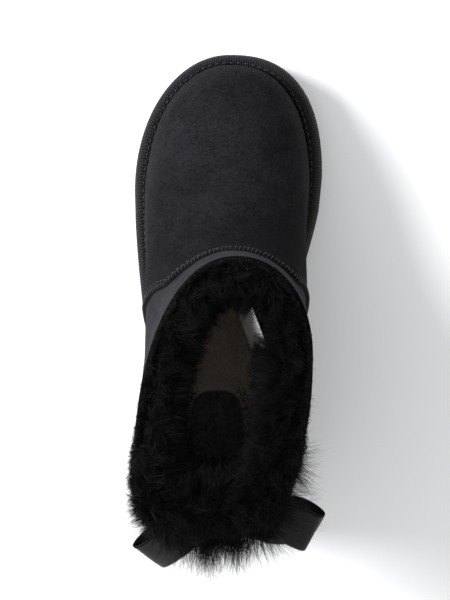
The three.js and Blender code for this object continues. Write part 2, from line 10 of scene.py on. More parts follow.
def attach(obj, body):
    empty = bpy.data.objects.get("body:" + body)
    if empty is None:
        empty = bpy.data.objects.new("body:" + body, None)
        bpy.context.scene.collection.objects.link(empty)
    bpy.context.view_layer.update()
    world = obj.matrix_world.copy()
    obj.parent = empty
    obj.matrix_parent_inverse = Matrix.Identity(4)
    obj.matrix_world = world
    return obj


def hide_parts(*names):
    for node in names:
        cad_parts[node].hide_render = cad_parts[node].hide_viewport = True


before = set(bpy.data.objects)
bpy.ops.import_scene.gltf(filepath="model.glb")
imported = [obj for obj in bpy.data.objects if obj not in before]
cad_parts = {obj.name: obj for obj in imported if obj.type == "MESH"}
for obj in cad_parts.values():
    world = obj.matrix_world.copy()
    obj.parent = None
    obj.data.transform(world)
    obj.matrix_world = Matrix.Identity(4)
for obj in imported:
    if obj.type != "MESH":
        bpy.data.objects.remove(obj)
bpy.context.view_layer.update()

millimetre = 0.001
draws = np.random.default_rng(38)  # one seeded source for every random draw, so that each run gives the same boot
up = np.array([0.0, 0.0, 1.0])


# small tools for shapes

def mix(a, b, share):
    return a + (b - a) * share


def ease(x, start, end):
    t = np.clip((x - start) / (end - start), 0, 1)
    return t * t * (3 - 2 * t)


def unit(vectors):
    return vectors / np.maximum(np.linalg.norm(vectors, axis=-1, keepdims=True), 1e-9)


def runAlong(points):
    # how far along a line each of its points lies
    steps = np.linalg.norm(np.diff(points, axis=0), axis=1)
    return np.concatenate([np.zeros_like(steps[:1]), np.cumsum(steps, axis=0)])


def asFloats(*values):
    return np.broadcast_arrays(*(np.asarray(v, float) for v in values))


def columnsOf(names, rows):
    return dict(zip(names.split(), np.array(rows, float).T))


def readTable(table, key, place):
    # a smooth curve through the rows of a table, read between two rows
    x = table[key]
    place = np.asarray(place, float)
    i = np.clip(np.searchsorted(x, place, side="right") - 1, 0, len(x) - 2)
    span = x[i + 1] - x[i]
    t = np.clip((place - x[i]) / span, 0, 1)

    def slope(k, y):
        before, after = np.maximum(k - 1, 0), np.minimum(k + 1, len(x) - 1)
        return span * (y[after] - y[before]) / (x[after] - x[before])

    return {
        name: y[i] * (2 * t**3 - 3 * t**2 + 1) + slope(i, y) * (t**3 - 2 * t**2 + t)
        + y[i + 1] * (3 * t**2 - 2 * t**3) + slope(i + 1, y) * (t**3 - t**2)
        for name, y in table.items()
    }


def softNoise(points, size, seed, waves=14):
    # smooth unevenness from about -1 to 1, whose hills are about size across
    own = np.random.default_rng(seed)
    total = 0
    for _ in range(waves):
        direction = unit(own.normal(size=3))
        total = total + np.sin(points @ direction * (np.pi / size) * own.uniform(0.6, 1.5) + own.uniform(0, 6.28))
    return total / np.sqrt(waves)


def meshFrom(name, points, faceSets, uvSets=None, sharpAngle=None):
    # points in millimetres, faces as arrays of equal-sized rows, and a place on the pattern for each corner
    mesh = bpy.data.meshes.new(name)
    mesh.vertices.add(len(points))
    mesh.vertices.foreach_set("co", (np.asarray(points) * millimetre).ravel())
    corners = np.concatenate([faces.ravel() for faces in faceSets])
    sizes = np.concatenate([np.full(len(faces), faces.shape[1]) for faces in faceSets])
    mesh.loops.add(len(corners))
    mesh.loops.foreach_set("vertex_index", corners.astype(np.int32))
    mesh.polygons.add(len(sizes))
    mesh.polygons.foreach_set("loop_start", np.concatenate([[0], np.cumsum(sizes)[:-1]]).astype(np.int32))
    if uvSets is not None:
        layer = mesh.uv_layers.new(name="pattern")
        layer.data.foreach_set("uv", np.concatenate([uv.reshape(-1, 2) for uv in uvSets]).ravel().astype(np.float32))
    mesh.update(calc_edges=True)
    mesh.validate()
    mesh.shade_smooth()
    if sharpAngle:
        mesh.set_sharp_from_angle(angle=np.radians(sharpAngle))
    piece = bpy.data.objects.new(name, mesh)
    bpy.context.scene.collection.objects.link(piece)
    return piece


def gridFaces(rows, columns, wrapRows=False, wrapColumns=False):
    # quads of a grid of points, and the same quads on a grid that goes one further where it wraps round
    r, c = np.meshgrid(np.arange(rows - (not wrapRows)), np.arange(columns - (not wrapColumns)), indexing="ij")
    r, c = r.ravel(), c.ravel()
    steps = [(0, 0), (0, 1), (1, 1), (1, 0)]
    faces = np.stack([((r + i) % rows) * columns + (c + j) % columns for i, j in steps], axis=1)
    wide = columns + wrapColumns
    return faces, np.stack([(r + i) * wide + c + j for i, j in steps], axis=1)


def facesOutward(points, faces):
    # turns quads and triangles of a closed shape so that they face outwards
    a, b, c = (points[faces[:, k]] for k in range(3))
    total = np.sum(np.einsum("ij,ij->i", a, np.cross(b, c)))
    if faces.shape[1] == 4:
        d = points[faces[:, 3]]
        total += np.sum(np.einsum("ij,ij->i", a, np.cross(c, d)))
    return total > 0


def endQuads(rows, columns):
    # quads that close the first and the last ring of a grid
    k = np.arange(columns // 2 - 1)
    strip = np.stack([k, k + 1, columns - k - 2, columns - k - 1], axis=1)
    return [strip[:, ::-1], strip + (rows - 1) * columns]


def loftPiece(name, rings, loop=False, uv=None, sharpAngle=None):
    # a closed shape through rings of points. Without loop the two end rings are closed by a fan of quads
    rows, columns = rings.shape[:2]
    points = rings.reshape(-1, 3)
    faces, corners = gridFaces(rows, columns, wrapRows=loop, wrapColumns=True)
    sets, uvSets = [faces], None
    if uv is not None:
        uvSets = [uv.reshape(-1, 2)[corners]]
    if not loop:
        ends = endQuads(rows, columns)
        sets += ends
        if uv is not None:
            uvSets += [np.zeros((len(end), 4, 2)) for end in ends]
    if not facesOutward(points, np.concatenate(sets)):
        sets = [faces[:, ::-1] for faces in sets]
        uvSets = uvSets and [uv[:, ::-1] for uv in uvSets]
    return meshFrom(name, points, sets, uvSets, sharpAngle)


def fibrePiece(name, paths, width, taper=None):
    # thin strips of one fibre each, as wide as width at the root and pointed at the tip
    count, steps = paths.shape[:2]
    tangents = unit(np.gradient(paths, axis=1))
    side = unit(np.cross(tangents, draws.normal(size=(count, 1, 3))))
    taper = np.linspace(1, 0.45, steps - 1) if taper is None else np.array(taper)
    half = (np.asarray(width) / 2 * np.ones(count))[:, None, None] * taper[None, :, None]
    left = paths[:, :-1] - side[:, :-1] * half
    right = paths[:, :-1] + side[:, :-1] * half
    points = np.concatenate([np.stack([left, right], axis=2).reshape(count, -1, 3), paths[:, -1:]], axis=1)
    each = points.shape[1]
    rungs = np.array([[2 * k, 2 * k + 1, 2 * k + 3, 2 * k + 2] for k in range(steps - 2)])
    shapes = [rungs, np.array([[each - 3, each - 2, each - 1]])]
    start = (np.arange(count) * each)[:, None, None]
    # the pattern runs from 0 at the root to 1 at the tip, and across it each fibre has a number of its own
    uv = np.empty((count, each, 2))
    uv[..., 0] = draws.uniform(0, 1, (count, 1))
    uv[..., 1] = np.append(np.repeat(np.arange(steps - 1) / (steps - 1), 2), 1)
    faceSets = [(start + shape).reshape(-1, shape.shape[1]) for shape in shapes]
    return meshFrom(name, points.reshape(-1, 3), faceSets, [uv[:, shape] for shape in shapes])


def threadPiece(name, paths, radius, sides=6):
    # short lengths of thread, each a round tube with drawn-in ends
    count, steps = paths.shape[:2]
    tangents = unit(np.gradient(paths, axis=1))
    across = unit(np.cross(tangents, np.broadcast_to(unit(draws.normal(size=(count, 1, 3))), tangents.shape)))
    over = np.cross(tangents, across)
    swell = np.sin(np.linspace(0.12, 0.88, steps) * np.pi) ** 0.5
    angle = np.arange(sides) / sides * 2 * np.pi
    ring = across[:, :, None] * np.cos(angle)[:, None] + over[:, :, None] * np.sin(angle)[:, None]
    points = paths[:, :, None] + ring * (radius * swell)[None, :, None, None]
    each = np.concatenate([gridFaces(steps, sides, wrapColumns=True)[0], *endQuads(steps, sides)])
    if not facesOutward(points[0].reshape(-1, 3) - paths[0].mean(0), each):
        each = each[:, ::-1]
    allFaces = ((np.arange(count) * steps * sides)[:, None, None] + each).reshape(-1, 4)
    return meshFrom(name, points.reshape(-1, 3), [allFaces])


def dress(piece, material, slot, *nodes):
    # the finish of a piece, the body it rides on and the solids that it stands for
    piece.data.materials.append(material)
    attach(piece, "root")
    if nodes:
        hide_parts(*nodes)
    return piece


# small tools for finishes

def linearColour(code):
    parts = [int(code[k : k + 2], 16) / 255 for k in (0, 2, 4)]
    return [c / 12.92 if c <= 0.04045 else ((c + 0.055) / 1.055) ** 2.4 for c in parts] + [1.0]


def addNode(tree, kind, inputs, output=0, **settings):
    made = tree.nodes.new("ShaderNode" + kind)
    for name, value in settings.items():
        setattr(made, name, value)
    for socket, value in inputs.items():
        if isinstance(value, bpy.types.NodeSocket):
            tree.links.new(value, made.inputs[socket])
        else:
            made.inputs[socket].default_value = value
    return made.outputs[output]


def newFinish(name, rough, specular, sheen=0.0, sheenRough=0.5, sheenTint="ffffff"):
    finish = bpy.data.materials.new(name)
    finish.use_nodes = True
    shader = finish.node_tree.nodes["Principled BSDF"]
    for socket, value in (
        ("Roughness", rough), ("Specular IOR Level", specular), ("Sheen Weight", sheen),
        ("Sheen Roughness", sheenRough), ("Sheen Tint", linearColour(sheenTint)),
    ):
        shader.inputs[socket].default_value = value
    return finish, finish.node_tree, shader


def perMetre(size):
    # how often a pattern repeats in a metre, from its size in millimetres
    return 1 / (size * millimetre)


def solidPlace(tree):
    return addNode(tree, "TexCoord", {}, "Object")


def patternPlace(tree):
    # a place on a woven or grown pattern, in millimetres along it and across it
    return addNode(tree, "UVMap", {}, uv_map="pattern")


def axisOf(tree, place, axis):
    return addNode(tree, "SeparateXYZ", {0: place}, axis)


def noise(tree, place, scale, detail=2.0, rough=0.5, twist=0.0):
    return addNode(tree, "TexNoise", {
        "Vector": place, "Scale": scale, "Detail": detail, "Roughness": rough, "Distortion": twist,
    })


def stretch(tree, value, low, high, toLow=0.0, toHigh=1.0):
    return addNode(tree, "MapRange", {
        "Value": value, "From Min": low, "From Max": high, "To Min": toLow, "To Max": toHigh,
    })


def addUp(tree, first, *others):
    for other in others:
        first = addNode(tree, "Math", {0: first, 1: other}, operation="ADD")
    return first


def times(tree, value, factor):
    return addNode(tree, "Math", {0: value, 1: factor}, operation="MULTIPLY")


def ribsAlong(tree, place, pitch):
    return addNode(tree, "Math", {0: times(tree, place, 2 * np.pi / pitch)}, operation="SINE")


def blend(tree, share, dark, light):
    ends = [c if isinstance(c, bpy.types.NodeSocket) else linearColour(c) for c in (dark, light)]
    return addNode(tree, "Mix", {0: share, 6: ends[0], 7: ends[1]}, 2, data_type="RGBA")


def paint(tree, shader, share, dark, light):
    tree.links.new(blend(tree, share, dark, light), shader.inputs["Base Color"])


def raiseUp(tree, shader, *layers):
    # patterns that stand up, one on another: each has its height's pattern, its strength and its depth in millimetres
    inputs = {}
    for pattern, strength, depth in layers:
        inputs.update({"Height": pattern, "Strength": strength, "Distance": depth * millimetre})
        inputs["Normal"] = addNode(tree, "Bump", inputs)
    tree.links.new(inputs["Normal"], shader.inputs["Normal"])


# Sheepskin suede, dyed charcoal: the skin's flesh side, sanded to a short nap. It scatters light, lightens at grazing
# angles, and shows soft clouds where the nap lies another way.
def suedeFinish(name, dark, light, wornAndShaded):
    finish, tree, shader = newFinish(name, 0.94, 0.06, 0.035, 0.5, "84838a")
    place = solidPlace(tree)
    brushed = noise(tree, place, perMetre(7), 3.0, 0.55, 0.6)
    # the nap's own fibres are 0.1 mm, too fine to show, so they are drawn as tufts of 1.4 mm
    nap = noise(tree, place, perMetre(1.4), 4.0, 0.7)
    fine = stretch(tree, nap, 0.4, 0.62)
    # pale marks where a hand or a brush has turned the nap
    marks = stretch(tree, noise(tree, place, perMetre(5), 6.0, 0.7, 1.4), 0.56, 0.74, toHigh=1.1)
    clouds = stretch(tree, noise(tree, place, perMetre(30), 3.0), 0.34, 0.68)
    level = addUp(tree, clouds, stretch(tree, brushed, 0.36, 0.66), times(tree, fine, 1.6), marks)
    share = times(tree, level, 0.27)
    if wornAndShaded:
        # one rubbed patch lies behind the toes; painted shade darkens the inner side, most of all high on the foot, and
        # the part from the instep back
        away = addNode(tree, "VectorMath", {0: place, 1: (-0.004, 0.166, 0.06)}, "Value", operation="DISTANCE")
        patch = times(tree, stretch(tree, away, 0.008, 0.032, 1.0, 0.0), fine)
        # painted shade: darker towards the inner side, where the key light falls weakly
        inner = stretch(tree, axisOf(tree, place, 0), 0.0, 0.034, toHigh=-0.3)
        onTop = stretch(tree, axisOf(tree, place, 2), 0.03, 0.05, 0.2)
        # painted shade: darker from the instep back
        behind = stretch(tree, axisOf(tree, place, 1), 0.1, 0.15, -0.3, 0.0)
        share = addUp(tree, share, times(tree, patch, 0.3), times(tree, inner, onTop), behind)
    paint(tree, shader, share, dark, light)
    raiseUp(tree, shader, (brushed, 0.3, 0.5), (nap, 0.7, 0.4))
    return finish


# Woven binding tape, black polyester twill: diagonal ribs of yarn with a dull gloss on each rib.
def tapeFinish():
    finish, tree, shader = newFinish("twillTape", 0.6, 0.16, 0.03, 0.4, "9a9a9e")
    run = patternPlace(tree)
    along, across = axisOf(tree, run, 0), axisOf(tree, run, 1)
    # real twill is 0.6 mm a rib, drawn coarser so that it shows
    weave = addUp(tree, ribsAlong(tree, addUp(tree, along, across), 1.9), ribsAlong(tree, along, 1.5))
    fuzz = stretch(tree, noise(tree, run, 0.7, 4.0, 0.7), 0.3, 0.7, -0.8, 1.6)
    # painted shade: it is darker along the inner side, away from the key light
    inner = stretch(tree, axisOf(tree, solidPlace(tree), 0), 0.02, 0.05, toHigh=-1.1)
    paint(tree, shader, stretch(tree, addUp(tree, weave, fuzz, inner), -0.9, 2.2), "020202", "343338")
    raiseUp(tree, shader, (weave, 0.8, 0.4))
    return finish


# Sewing thread, bonded polyester: a smooth hard twist that catches small lights.
def threadFinish(name, dark, light):
    finish, tree, shader = newFinish(name, 0.45, 0.3)
    paint(tree, shader, noise(tree, solidPlace(tree), perMetre(1.2)), dark, light)
    return finish


# Foam rubber (EVA), moulded: matt black with the fine pebble of a spark-eroded mould.
def foamFinish():
    finish, tree, shader = newFinish("mouldedFoam", 0.72, 0.2)
    place = solidPlace(tree)
    pebble = addNode(tree, "TexVoronoi", {"Vector": place, "Scale": perMetre(1.3)})
    wear = stretch(tree, noise(tree, place, perMetre(14), 5.0, 0.65), 0.45, 0.72)
    paint(tree, shader, wear, "0c0b0c", "181718")
    raiseUp(tree, shader, (pebble, 0.3, 0.2))
    return finish


# Sheep's wool, dyed on the skin: each fibre is dark at the root and a little lighter towards its weathered tip.
def woolFinish(name, root, tip, other, sheen):
    finish, tree, shader = newFinish(name, 0.7, 0.1, sheen)
    run = patternPlace(tree)
    tips = blend(tree, axisOf(tree, run, 0), tip, other)
    paint(tree, shader, stretch(tree, axisOf(tree, run, 1), 0.1, 1.0), root, tips)
    return finish


# The felted ground that the wool grows from: no gloss at all, broken up by small curls.
def feltFinish(name, dark, light):
    finish, tree, shader = newFinish(name, 0.95, 0.1)
    curls = noise(tree, solidPlace(tree), perMetre(3.5), 5.0, twist=1.2)
    paint(tree, shader, stretch(tree, curls, 0.35, 0.7), dark, light)
    raiseUp(tree, shader, (curls, 0.9, 1.2))
    return finish


# Satin ribbon, black polyester filament: long floats lie side by side, so light runs in a smooth band across a fold,
# and fine weft lines show close up.
def satinFinish():
    finish, tree, shader = newFinish("satinRibbon", 0.32, 0.08, 0.003, 0.3, "b9b9c2")
    run = patternPlace(tree)
    weft = ribsAlong(tree, axisOf(tree, run, 0), 0.9)  # the real weft is 0.15 mm, too fine to show
    floats = noise(tree, addNode(tree, "Mapping", {"Vector": run, "Scale": (0.12, 1.3, 1.0)}), 1.0, 3.0)
    paint(tree, shader, floats, "020204", "050508")
    raiseUp(tree, shader, (addUp(tree, times(tree, weft, 0.12), floats), 0.25, 0.2))
    return finish


# Label cloth, pale polyester taffeta: a fine plain weave, slightly glossy, coloured in mottled greys.
def labelFinish():
    finish, tree, shader = newFinish("labelTaffeta", 0.55, 0.4)
    run = patternPlace(tree)
    threads = addNode(tree, "TexChecker", {"Vector": run, "Scale": 1.6}, 1)  # cells of 0.6 mm, coarser than its threads
    paint(tree, shader, noise(tree, run, 0.22, 4.0, twist=0.8), "6a696c", "c2c1c3")
    raiseUp(tree, shader, (threads, 0.25, 0.15))
    return finish


footSuede = suedeFinish("footSuede", "0c0b0d", "222124", wornAndShaded=True)
shaftSuedePaintedLight = suedeFinish("shaftSuedePaintedLight", "161518", "323135", wornAndShaded=False)  # a lighter copy of the same suede: painted light on the shaft
tape, thread, foam = tapeFinish(), threadFinish("bondedThread", "121113", "39383c"), foamFinish()
padCord = threadFinish("padCord", "75716e", "98938f")
furWool = woolFinish("blackWool", "030303", "0b0b0d", "0d0d10", 0.008)
furFelt = feltFinish("blackFelt", "020202", "060606")
bedWool = woolFinish("taupeWool", "b6aaa0", "d8cdc5", "c8bcb3", 0.2)
bedFelt = feltFinish("taupeFelt", "aea298", "c3b8af")
padFelt = feltFinish("greyFelt", "464649", "646468")
satin, label = satinFinish(), labelFinish()
print("finishes made")

# the boot's own shape, as its maker's last gives it
last = {
    "length": 265, "ballWidth": 111, "heelHeight": 23, "ballHeight": 15, "toeHeight": 21, "toeSpring": 8,
    "archLift": 2.5, "instepHeight": 104, "collarHeight": 150, "wall": 2.4, "overlay": 1.2, "gap": 0.3,
    "sideSeamTurn": 0.322, "sideSeamWidth": 3, "seamWidth": 2.4, "seamRidge": 0.9,
}
gap, wall, collarHeight = last["gap"], last["wall"], last["collarHeight"]
heelHeight, ballHeight, toeHeight = last["heelHeight"], last["ballHeight"], last["toeHeight"]
shaftHeight = collarHeight - heelHeight
heelMiddle = 0.16 * last["length"]

soleHeights = columnsOf("forward top tread", [
    [0.0, heelHeight, 0],
    [0.14, heelHeight, 0],
    [0.28, mix(heelHeight, ballHeight, 0.08), 0],
    [0.42, mix(heelHeight, ballHeight, 0.42), last["archLift"]],
    [0.55, mix(heelHeight, ballHeight, 0.86), 0],
    [0.66, ballHeight, 0],
    [0.76, ballHeight, 0],
    [0.88, mix(ballHeight, toeHeight, 0.4), 0.34 * last["toeSpring"]],
    [1.0, toeHeight, last["toeSpring"]],
])
# outlines from above, from the outsole (level 0) past the instep (1) to the collar (2). Lengths are shares of the
# boot's length and widths are shares of half its ball width
outlineNames = "level front tip outer outerAt outerHeel inner innerAt innerHeel arch back square"
sections = columnsOf(outlineNames, [
    [0.0, 0.965, 0.02, 0.818, 0.7, 0.64, 0.832, 0.728, 0.64, 0.19, 0.034, 4.4],
    [0.12, 0.97, 0.02, 0.836, 0.694, 0.67, 0.848, 0.717, 0.665, 0.175, 0.023, 4.2],
    [0.26, 0.963, 0.02, 0.834, 0.68, 0.69, 0.846, 0.7, 0.685, 0.13, 0.016, 4.0],
    [0.39, 0.934, 0.025, 0.818, 0.636, 0.71, 0.832, 0.664, 0.705, 0.06, 0.013, 3.8],
    [0.52, 0.868, 0.03, 0.8, 0.568, 0.725, 0.824, 0.604, 0.72, 0.01, 0.014, 3.6],
    [0.62, 0.788, 0.045, 0.79, 0.487, 0.745, 0.822, 0.532, 0.74, 0, 0.016, 3.4],
    [0.74, 0.701, 0.06, 0.79, 0.396, 0.765, 0.83, 0.462, 0.76, 0, 0.02, 3.3],
    [0.87, 0.628, 0.08, 0.797, 0.318, 0.785, 0.846, 0.415, 0.785, 0, 0.023, 3.2],
    [1.0, 0.576, 0.1, 0.808, 0.244, 0.805, 0.866, 0.385, 0.81, 0, 0.024, 3.1],
    [1.3, 0.557, 0.125, 0.817, 0.18, 0.817, 0.884, 0.362, 0.835, 0, 0.021, 3.0],
    [1.66, 0.547, 0.15, 0.825, 0.134, 0.825, 0.9, 0.347, 0.855, 0, 0.017, 2.9],
    [2.0, 0.542, 0.165, 0.83, 0.106, 0.83, 0.91, 0.34, 0.87, 0, 0.013, 2.8],
])
outsoleEdge = columnsOf(outlineNames, [[0, 1, 0.02, 0.993, 0.7, 0.775, 1.005, 0.73, 0.785, 0.165, 0, 4.4]])
seamEdge = columnsOf("turn level", [
    [0.0, 1.2], [0.045, 1.18], [0.09, 1.08], [0.14, 0.91], [0.23, 0.65], [0.285, 0.48], [last["sideSeamTurn"], 0.33],
    [0.36, 0.41], [0.42, 0.5], [0.5, 0.54],
])
instepRise = (last["instepHeight"] - ballHeight) / (collarHeight - ballHeight)


def riseOf(level):
    level = np.asarray(level, float)
    return np.where(level < 1, level * instepRise, mix(instepRise, 1, level - 1))


sections["rise"] = riseOf(sections["level"])


def soleTop(forward):
    return readTable(soleHeights, "forward", forward / last["length"])["top"]


def soleTread(forward):
    return np.maximum(readTable(soleHeights, "forward", forward / last["length"])["tread"], 0)


def seamRise(turn):
    turn = turn % 1
    return riseOf(readTable(seamEdge, "turn", np.minimum(turn, 1 - turn))["level"])


perSide = 480


def outlineOf(row):
    # once round a row of the sections table, each side in even steps, as [across, forward]
    sides = []
    angle = np.linspace(0, np.pi / 2, 241)
    for side, name in ((-1, "outer"), (1, "inner")):
        low = max(1 - row["level"], 0)
        toe = 2.1 + 0.4 * low if side > 0 else 2.1 - 0.1 * low
        widest, heel, at = side * row[name], side * row[name + "Heel"], row[name + "At"]
        out, on = np.sin(angle) ** (2 / toe), np.cos(angle) ** (2 / toe)
        front = np.stack([mix(row["tip"], widest, out), mix(at, row["front"], on)], axis=1)
        out, on = np.cos(angle) ** (2 / row["square"]), np.sin(angle) ** (2 / row["square"])
        arch = row["arch"] * np.sin(np.pi * np.minimum(on / 0.76, 1)) ** 2 if side > 0 else 0
        rear = np.stack([(mix(widest, heel, ease(on, 0, 0.85)) - arch) * out, mix(at, row["back"], on)], axis=1)
        points = np.concatenate([front, rear[1:]]) * [last["ballWidth"] / 2, last["length"]]
        along = runAlong(points)
        want = np.linspace(0, along[-1], perSide + 1)
        sides.append(np.stack([np.interp(want, along, points[:, k]) for k in (0, 1)], axis=1))
    return np.concatenate([sides[0], sides[1][::-1][1:]])


riseSteps = 400
rowsByRise = readTable(sections, "rise", np.linspace(0, 1, riseSteps + 1))
outlines = np.array([
    outlineOf({name: column[k] for name, column in rowsByRise.items()}) for k in range(riseSteps + 1)
])
soleOutline = outlineOf({name: column[0] for name, column in outsoleEdge.items()})


def lastPoint(turn, rise):
    turn, rise = asFloats(turn, rise)
    t, r = (turn % 1) * 2 * perSide, np.clip(rise, 0, 1) * riseSteps
    i, k = np.minimum(t.astype(int), 2 * perSide - 1), np.minimum(r.astype(int), riseSteps - 1)
    t, r = (t - i)[..., None], (r - k)[..., None]
    flat = mix(mix(outlines[k, i], outlines[k, i + 1], t), mix(outlines[k + 1, i], outlines[k + 1, i + 1], t), r)
    foot = soleTop(flat[..., 1]) + gap
    return np.stack([flat[..., 0], flat[..., 1] - heelMiddle, mix(foot, collarHeight, rise)], axis=-1)


def upperNormal(turn, rise):
    along = lastPoint(turn + 0.006, rise) - lastPoint(turn - 0.006, rise)
    upward = lastPoint(turn, np.minimum(rise + 0.012, 1)) - lastPoint(turn, np.maximum(rise - 0.012, 0))
    normal = np.cross(along, upward)
    # both cut edges are level across the wall
    normal[..., 2] *= ease(rise, 0, 0.02) * (1 - ease(rise, 0.98, 1))
    return unit(normal)


def upperPoint(turn, rise, out):
    turn, rise, out = asFloats(turn, rise, out)
    return lastPoint(turn, rise) + upperNormal(turn, rise) * out[..., None]


def solePoint(turn, out, height):
    # a point beside the outsole's edge: out from it, at a height that is a function of how far forward it lies
    turn, out = asFloats(turn, out)

    def at(place):
        t = (place % 1) * 2 * perSide
        i = np.minimum(t.astype(int), 2 * perSide - 1)
        return mix(soleOutline[i], soleOutline[i + 1], (t - i)[..., None])

    flat, step = at(turn), unit(at(turn + 0.005) - at(turn - 0.005))
    flat = flat + np.stack([step[..., 1], -step[..., 0]], axis=-1) * out[..., None]
    return np.stack([flat[..., 0], flat[..., 1] - heelMiddle, height(flat[..., 1])], axis=-1)


def collarPoint(turn, out, drop):
    turn, out, drop = asFloats(turn, out, drop)
    foot = soleTop(lastPoint(turn, 1)[..., 1] + heelMiddle) + gap
    point = upperPoint(turn, 1 - np.maximum(drop, 0) / (collarHeight - foot), out)
    point[..., 2] -= np.minimum(drop, 0)
    return point


def evenTurns(count):
    t = np.arange(count) / count
    return t - 0.38 * np.sin(4 * np.pi * t) / (4 * np.pi)  # closer together at the toe and the heel


seamHalfTurn = last["sideSeamWidth"] / 2 / (2.1 * last["length"])
grooveSteps = np.array([-1.5, -1.15, -0.85, -0.55, -0.2, 0.2, 0.55, 0.85, 1.15, 1.5]) * seamHalfTurn
grooves = np.concatenate([last["sideSeamTurn"] + grooveSteps, 1 - last["sideSeamTurn"] - grooveSteps])
spread = evenTurns(430)
spread = spread[np.min(np.abs(spread[:, None] - grooves[None]), axis=1) > 0.45 * seamHalfTurn]
turns = np.sort(np.concatenate([spread, grooves]))
girth = 640  # millimetres once round the boot near the sole, for patterns that run round it
print("last made")

# the upper
upperLook = {
    "rowsBelow": 74, "rowsAbove": 44, "rowsInside": 14,
    # the skin is gathered where the binding is sewn round it
    "drawnIn": 1.6, "puckerDepth": 0.3, "puckerPitch": 7.5, "puckerReach": 5,
    "slumpDepth": 0.55, "slumpSize": 34,
}
# soft troughs where the skin bends in wear: two ends by turn and level, then half width and depth
creases = [
    [-0.075, 0.6, 0.07, 0.64, 5.5, 0.55],
    [-0.05, 0.71, 0.06, 0.73, 4.5, 0.4],
    [-0.16, 1.1, 0.15, 1.14, 5.0, 0.7],
    [-0.1, 1.27, 0.13, 1.23, 4.5, 0.45],
    [0.2, 0.86, 0.29, 1.04, 6.0, 0.7],
    [0.71, 0.8, 0.82, 0.92, 6.0, 0.7],
    [0.4, 1.05, 0.6, 1.02, 5.5, 0.75],
    [0.43, 1.3, 0.57, 1.34, 5.0, 0.45],
    [0.24, 0.34, 0.3, 0.24, 4.0, 0.4],
    [0.7, 0.26, 0.76, 0.34, 4.0, 0.4],
]


def creaseDepth(turn, rise):
    # how far the skin is pressed in at a point by all the troughs. A low ridge stands on each side of a trough
    near = (turn + 0.5) % 1 - 0.5
    total = 0
    for t0, l0, t1, l1, width, depth in creases:
        around = np.where((t0 + t1) / 2 > 0.25, turn, near)
        start, end = (t0, float(riseOf(l0))), (t1, float(riseOf(l1)))
        scale = np.array([girth * 0.85, collarHeight - 18])
        a, b = np.array(start) * scale, np.array(end) * scale
        here = np.stack([around * scale[0], rise * scale[1]], axis=-1) - a
        along = here @ (b - a) / np.dot(b - a, b - a)
        away = np.linalg.norm(here - np.clip(along, 0, 1)[..., None] * (b - a), axis=-1) / width
        ends = ease(along, -0.15, 0.3) * (1 - ease(along, 0.7, 1.15))
        total = total + depth * ends * (np.exp(-(away**2)) - 0.35 * np.exp(-((away - 1.9) ** 2)))
    return total


def upperOut(turn, rise):
    # how far the leather stands off the shaft's own surface
    x = (rise - seamRise(turn)) / (last["seamWidth"] / 2 / shaftHeight)
    low, ridge = last["overlay"], last["overlay"] + last["seamRidge"]
    edge = [low, low - 0.3, low, 0.8 * ridge, ridge, ridge, 0.85 * ridge, 0.4 * ridge, 0]
    out = np.interp(x, [-2.4, -1.7, -1, -0.7, -0.3, 0.1, 0.45, 0.75, 1], edge)
    side = np.abs(np.minimum(turn, 1 - turn) - last["sideSeamTurn"]) / seamHalfTurn
    out = out - np.where(x < 1, low * (1 - ease(side, 0.2, 1.15)), 0)
    place = lastPoint(turn, rise)
    high = place[..., 2] - soleTop(place[..., 1] + heelMiddle)
    puckers = np.cos(turn * 2 * np.pi * girth / upperLook["puckerPitch"] + 1.5 * softNoise(place, 30, 5))
    out = out - upperLook["drawnIn"] * (1 - ease(high, 12.5, 18))
    reach = ease(high, 9, 12) * np.exp(-np.maximum(high - 12, 0) / upperLook["puckerReach"])
    out = out + upperLook["puckerDepth"] * reach * puckers
    fade = ease(rise, 0.06, 0.16) * (1 - ease(rise, 0.86, 0.96))
    uneven = upperLook["slumpDepth"] * softNoise(place, upperLook["slumpSize"], 11) + 0.12 * softNoise(place, 7, 12)
    return out + fade * (0.45 * uneven - creaseDepth(turn, rise))


def makeUpper():
    t = turns[None, :]
    halfSeam = last["seamWidth"] / 2 / shaftHeight
    below = 1 - (1 - np.linspace(0, 1, upperLook["rowsBelow"] + 1)) ** 1.35  # closer together towards the seam
    acrossSeam = np.array([-0.7, -0.3, 0.1, 0.45, 0.75])
    above = np.linspace(0, 1, upperLook["rowsAbove"] + 1) ** 1.15
    edge = seamRise(t)
    rises = np.concatenate([
        (edge - halfSeam) * below[:, None],
        edge + halfSeam * acrossSeam[:, None],
        mix(edge + halfSeam, 1, above[:, None]),
    ])
    outer = upperPoint(t, rises, upperOut(np.broadcast_to(t, rises.shape), rises))
    down = np.linspace(1, 0, upperLook["rowsInside"])[:, None]
    rings = np.concatenate([outer, upperPoint(t, down, -wall)])
    piece = dress(loftPiece("upperSuede", rings, loop=True), footSuede, "suede", "upper")
    # the shaft above the seam takes the lighter copy of the suede, as painted light
    piece.data.materials.append(shaftSuedePaintedLight)
    row = np.arange(len(piece.data.polygons)) // len(turns)
    aboveSeam = row >= upperLook["rowsBelow"] + len(acrossSeam) + 1
    piece.data.polygons.foreach_set("material_index", aboveSeam.astype(np.int32))


makeUpper()


# Threads of the sewn top edge: an overlock that wraps the edge, and a straight row below it.
seamLook = {
    "wrapPitch": 2.3, "wrapRadius": 0.28, "wrapLift": 0.16,
    "rowPitch": 3.6, "rowStitch": 2.5, "rowRadius": 0.34, "rowBelow": 2.7,
}


def turnsAlongSeam(pitch):
    # turns that lie a pitch apart along the sewn edge, and the edge's length
    fine = np.linspace(0, 1, 1500)
    along = runAlong(upperPoint(fine, seamRise(fine), 0))
    count = int(along[-1] / pitch)
    return np.interp((np.arange(count) + 0.5) * pitch, along, fine), along[-1]


def stitchReach(long, line):
    # five points of a stitch of a length, as shares of the line that it is sewn along
    return np.linspace(-0.5, 0.5, 5) * long / line


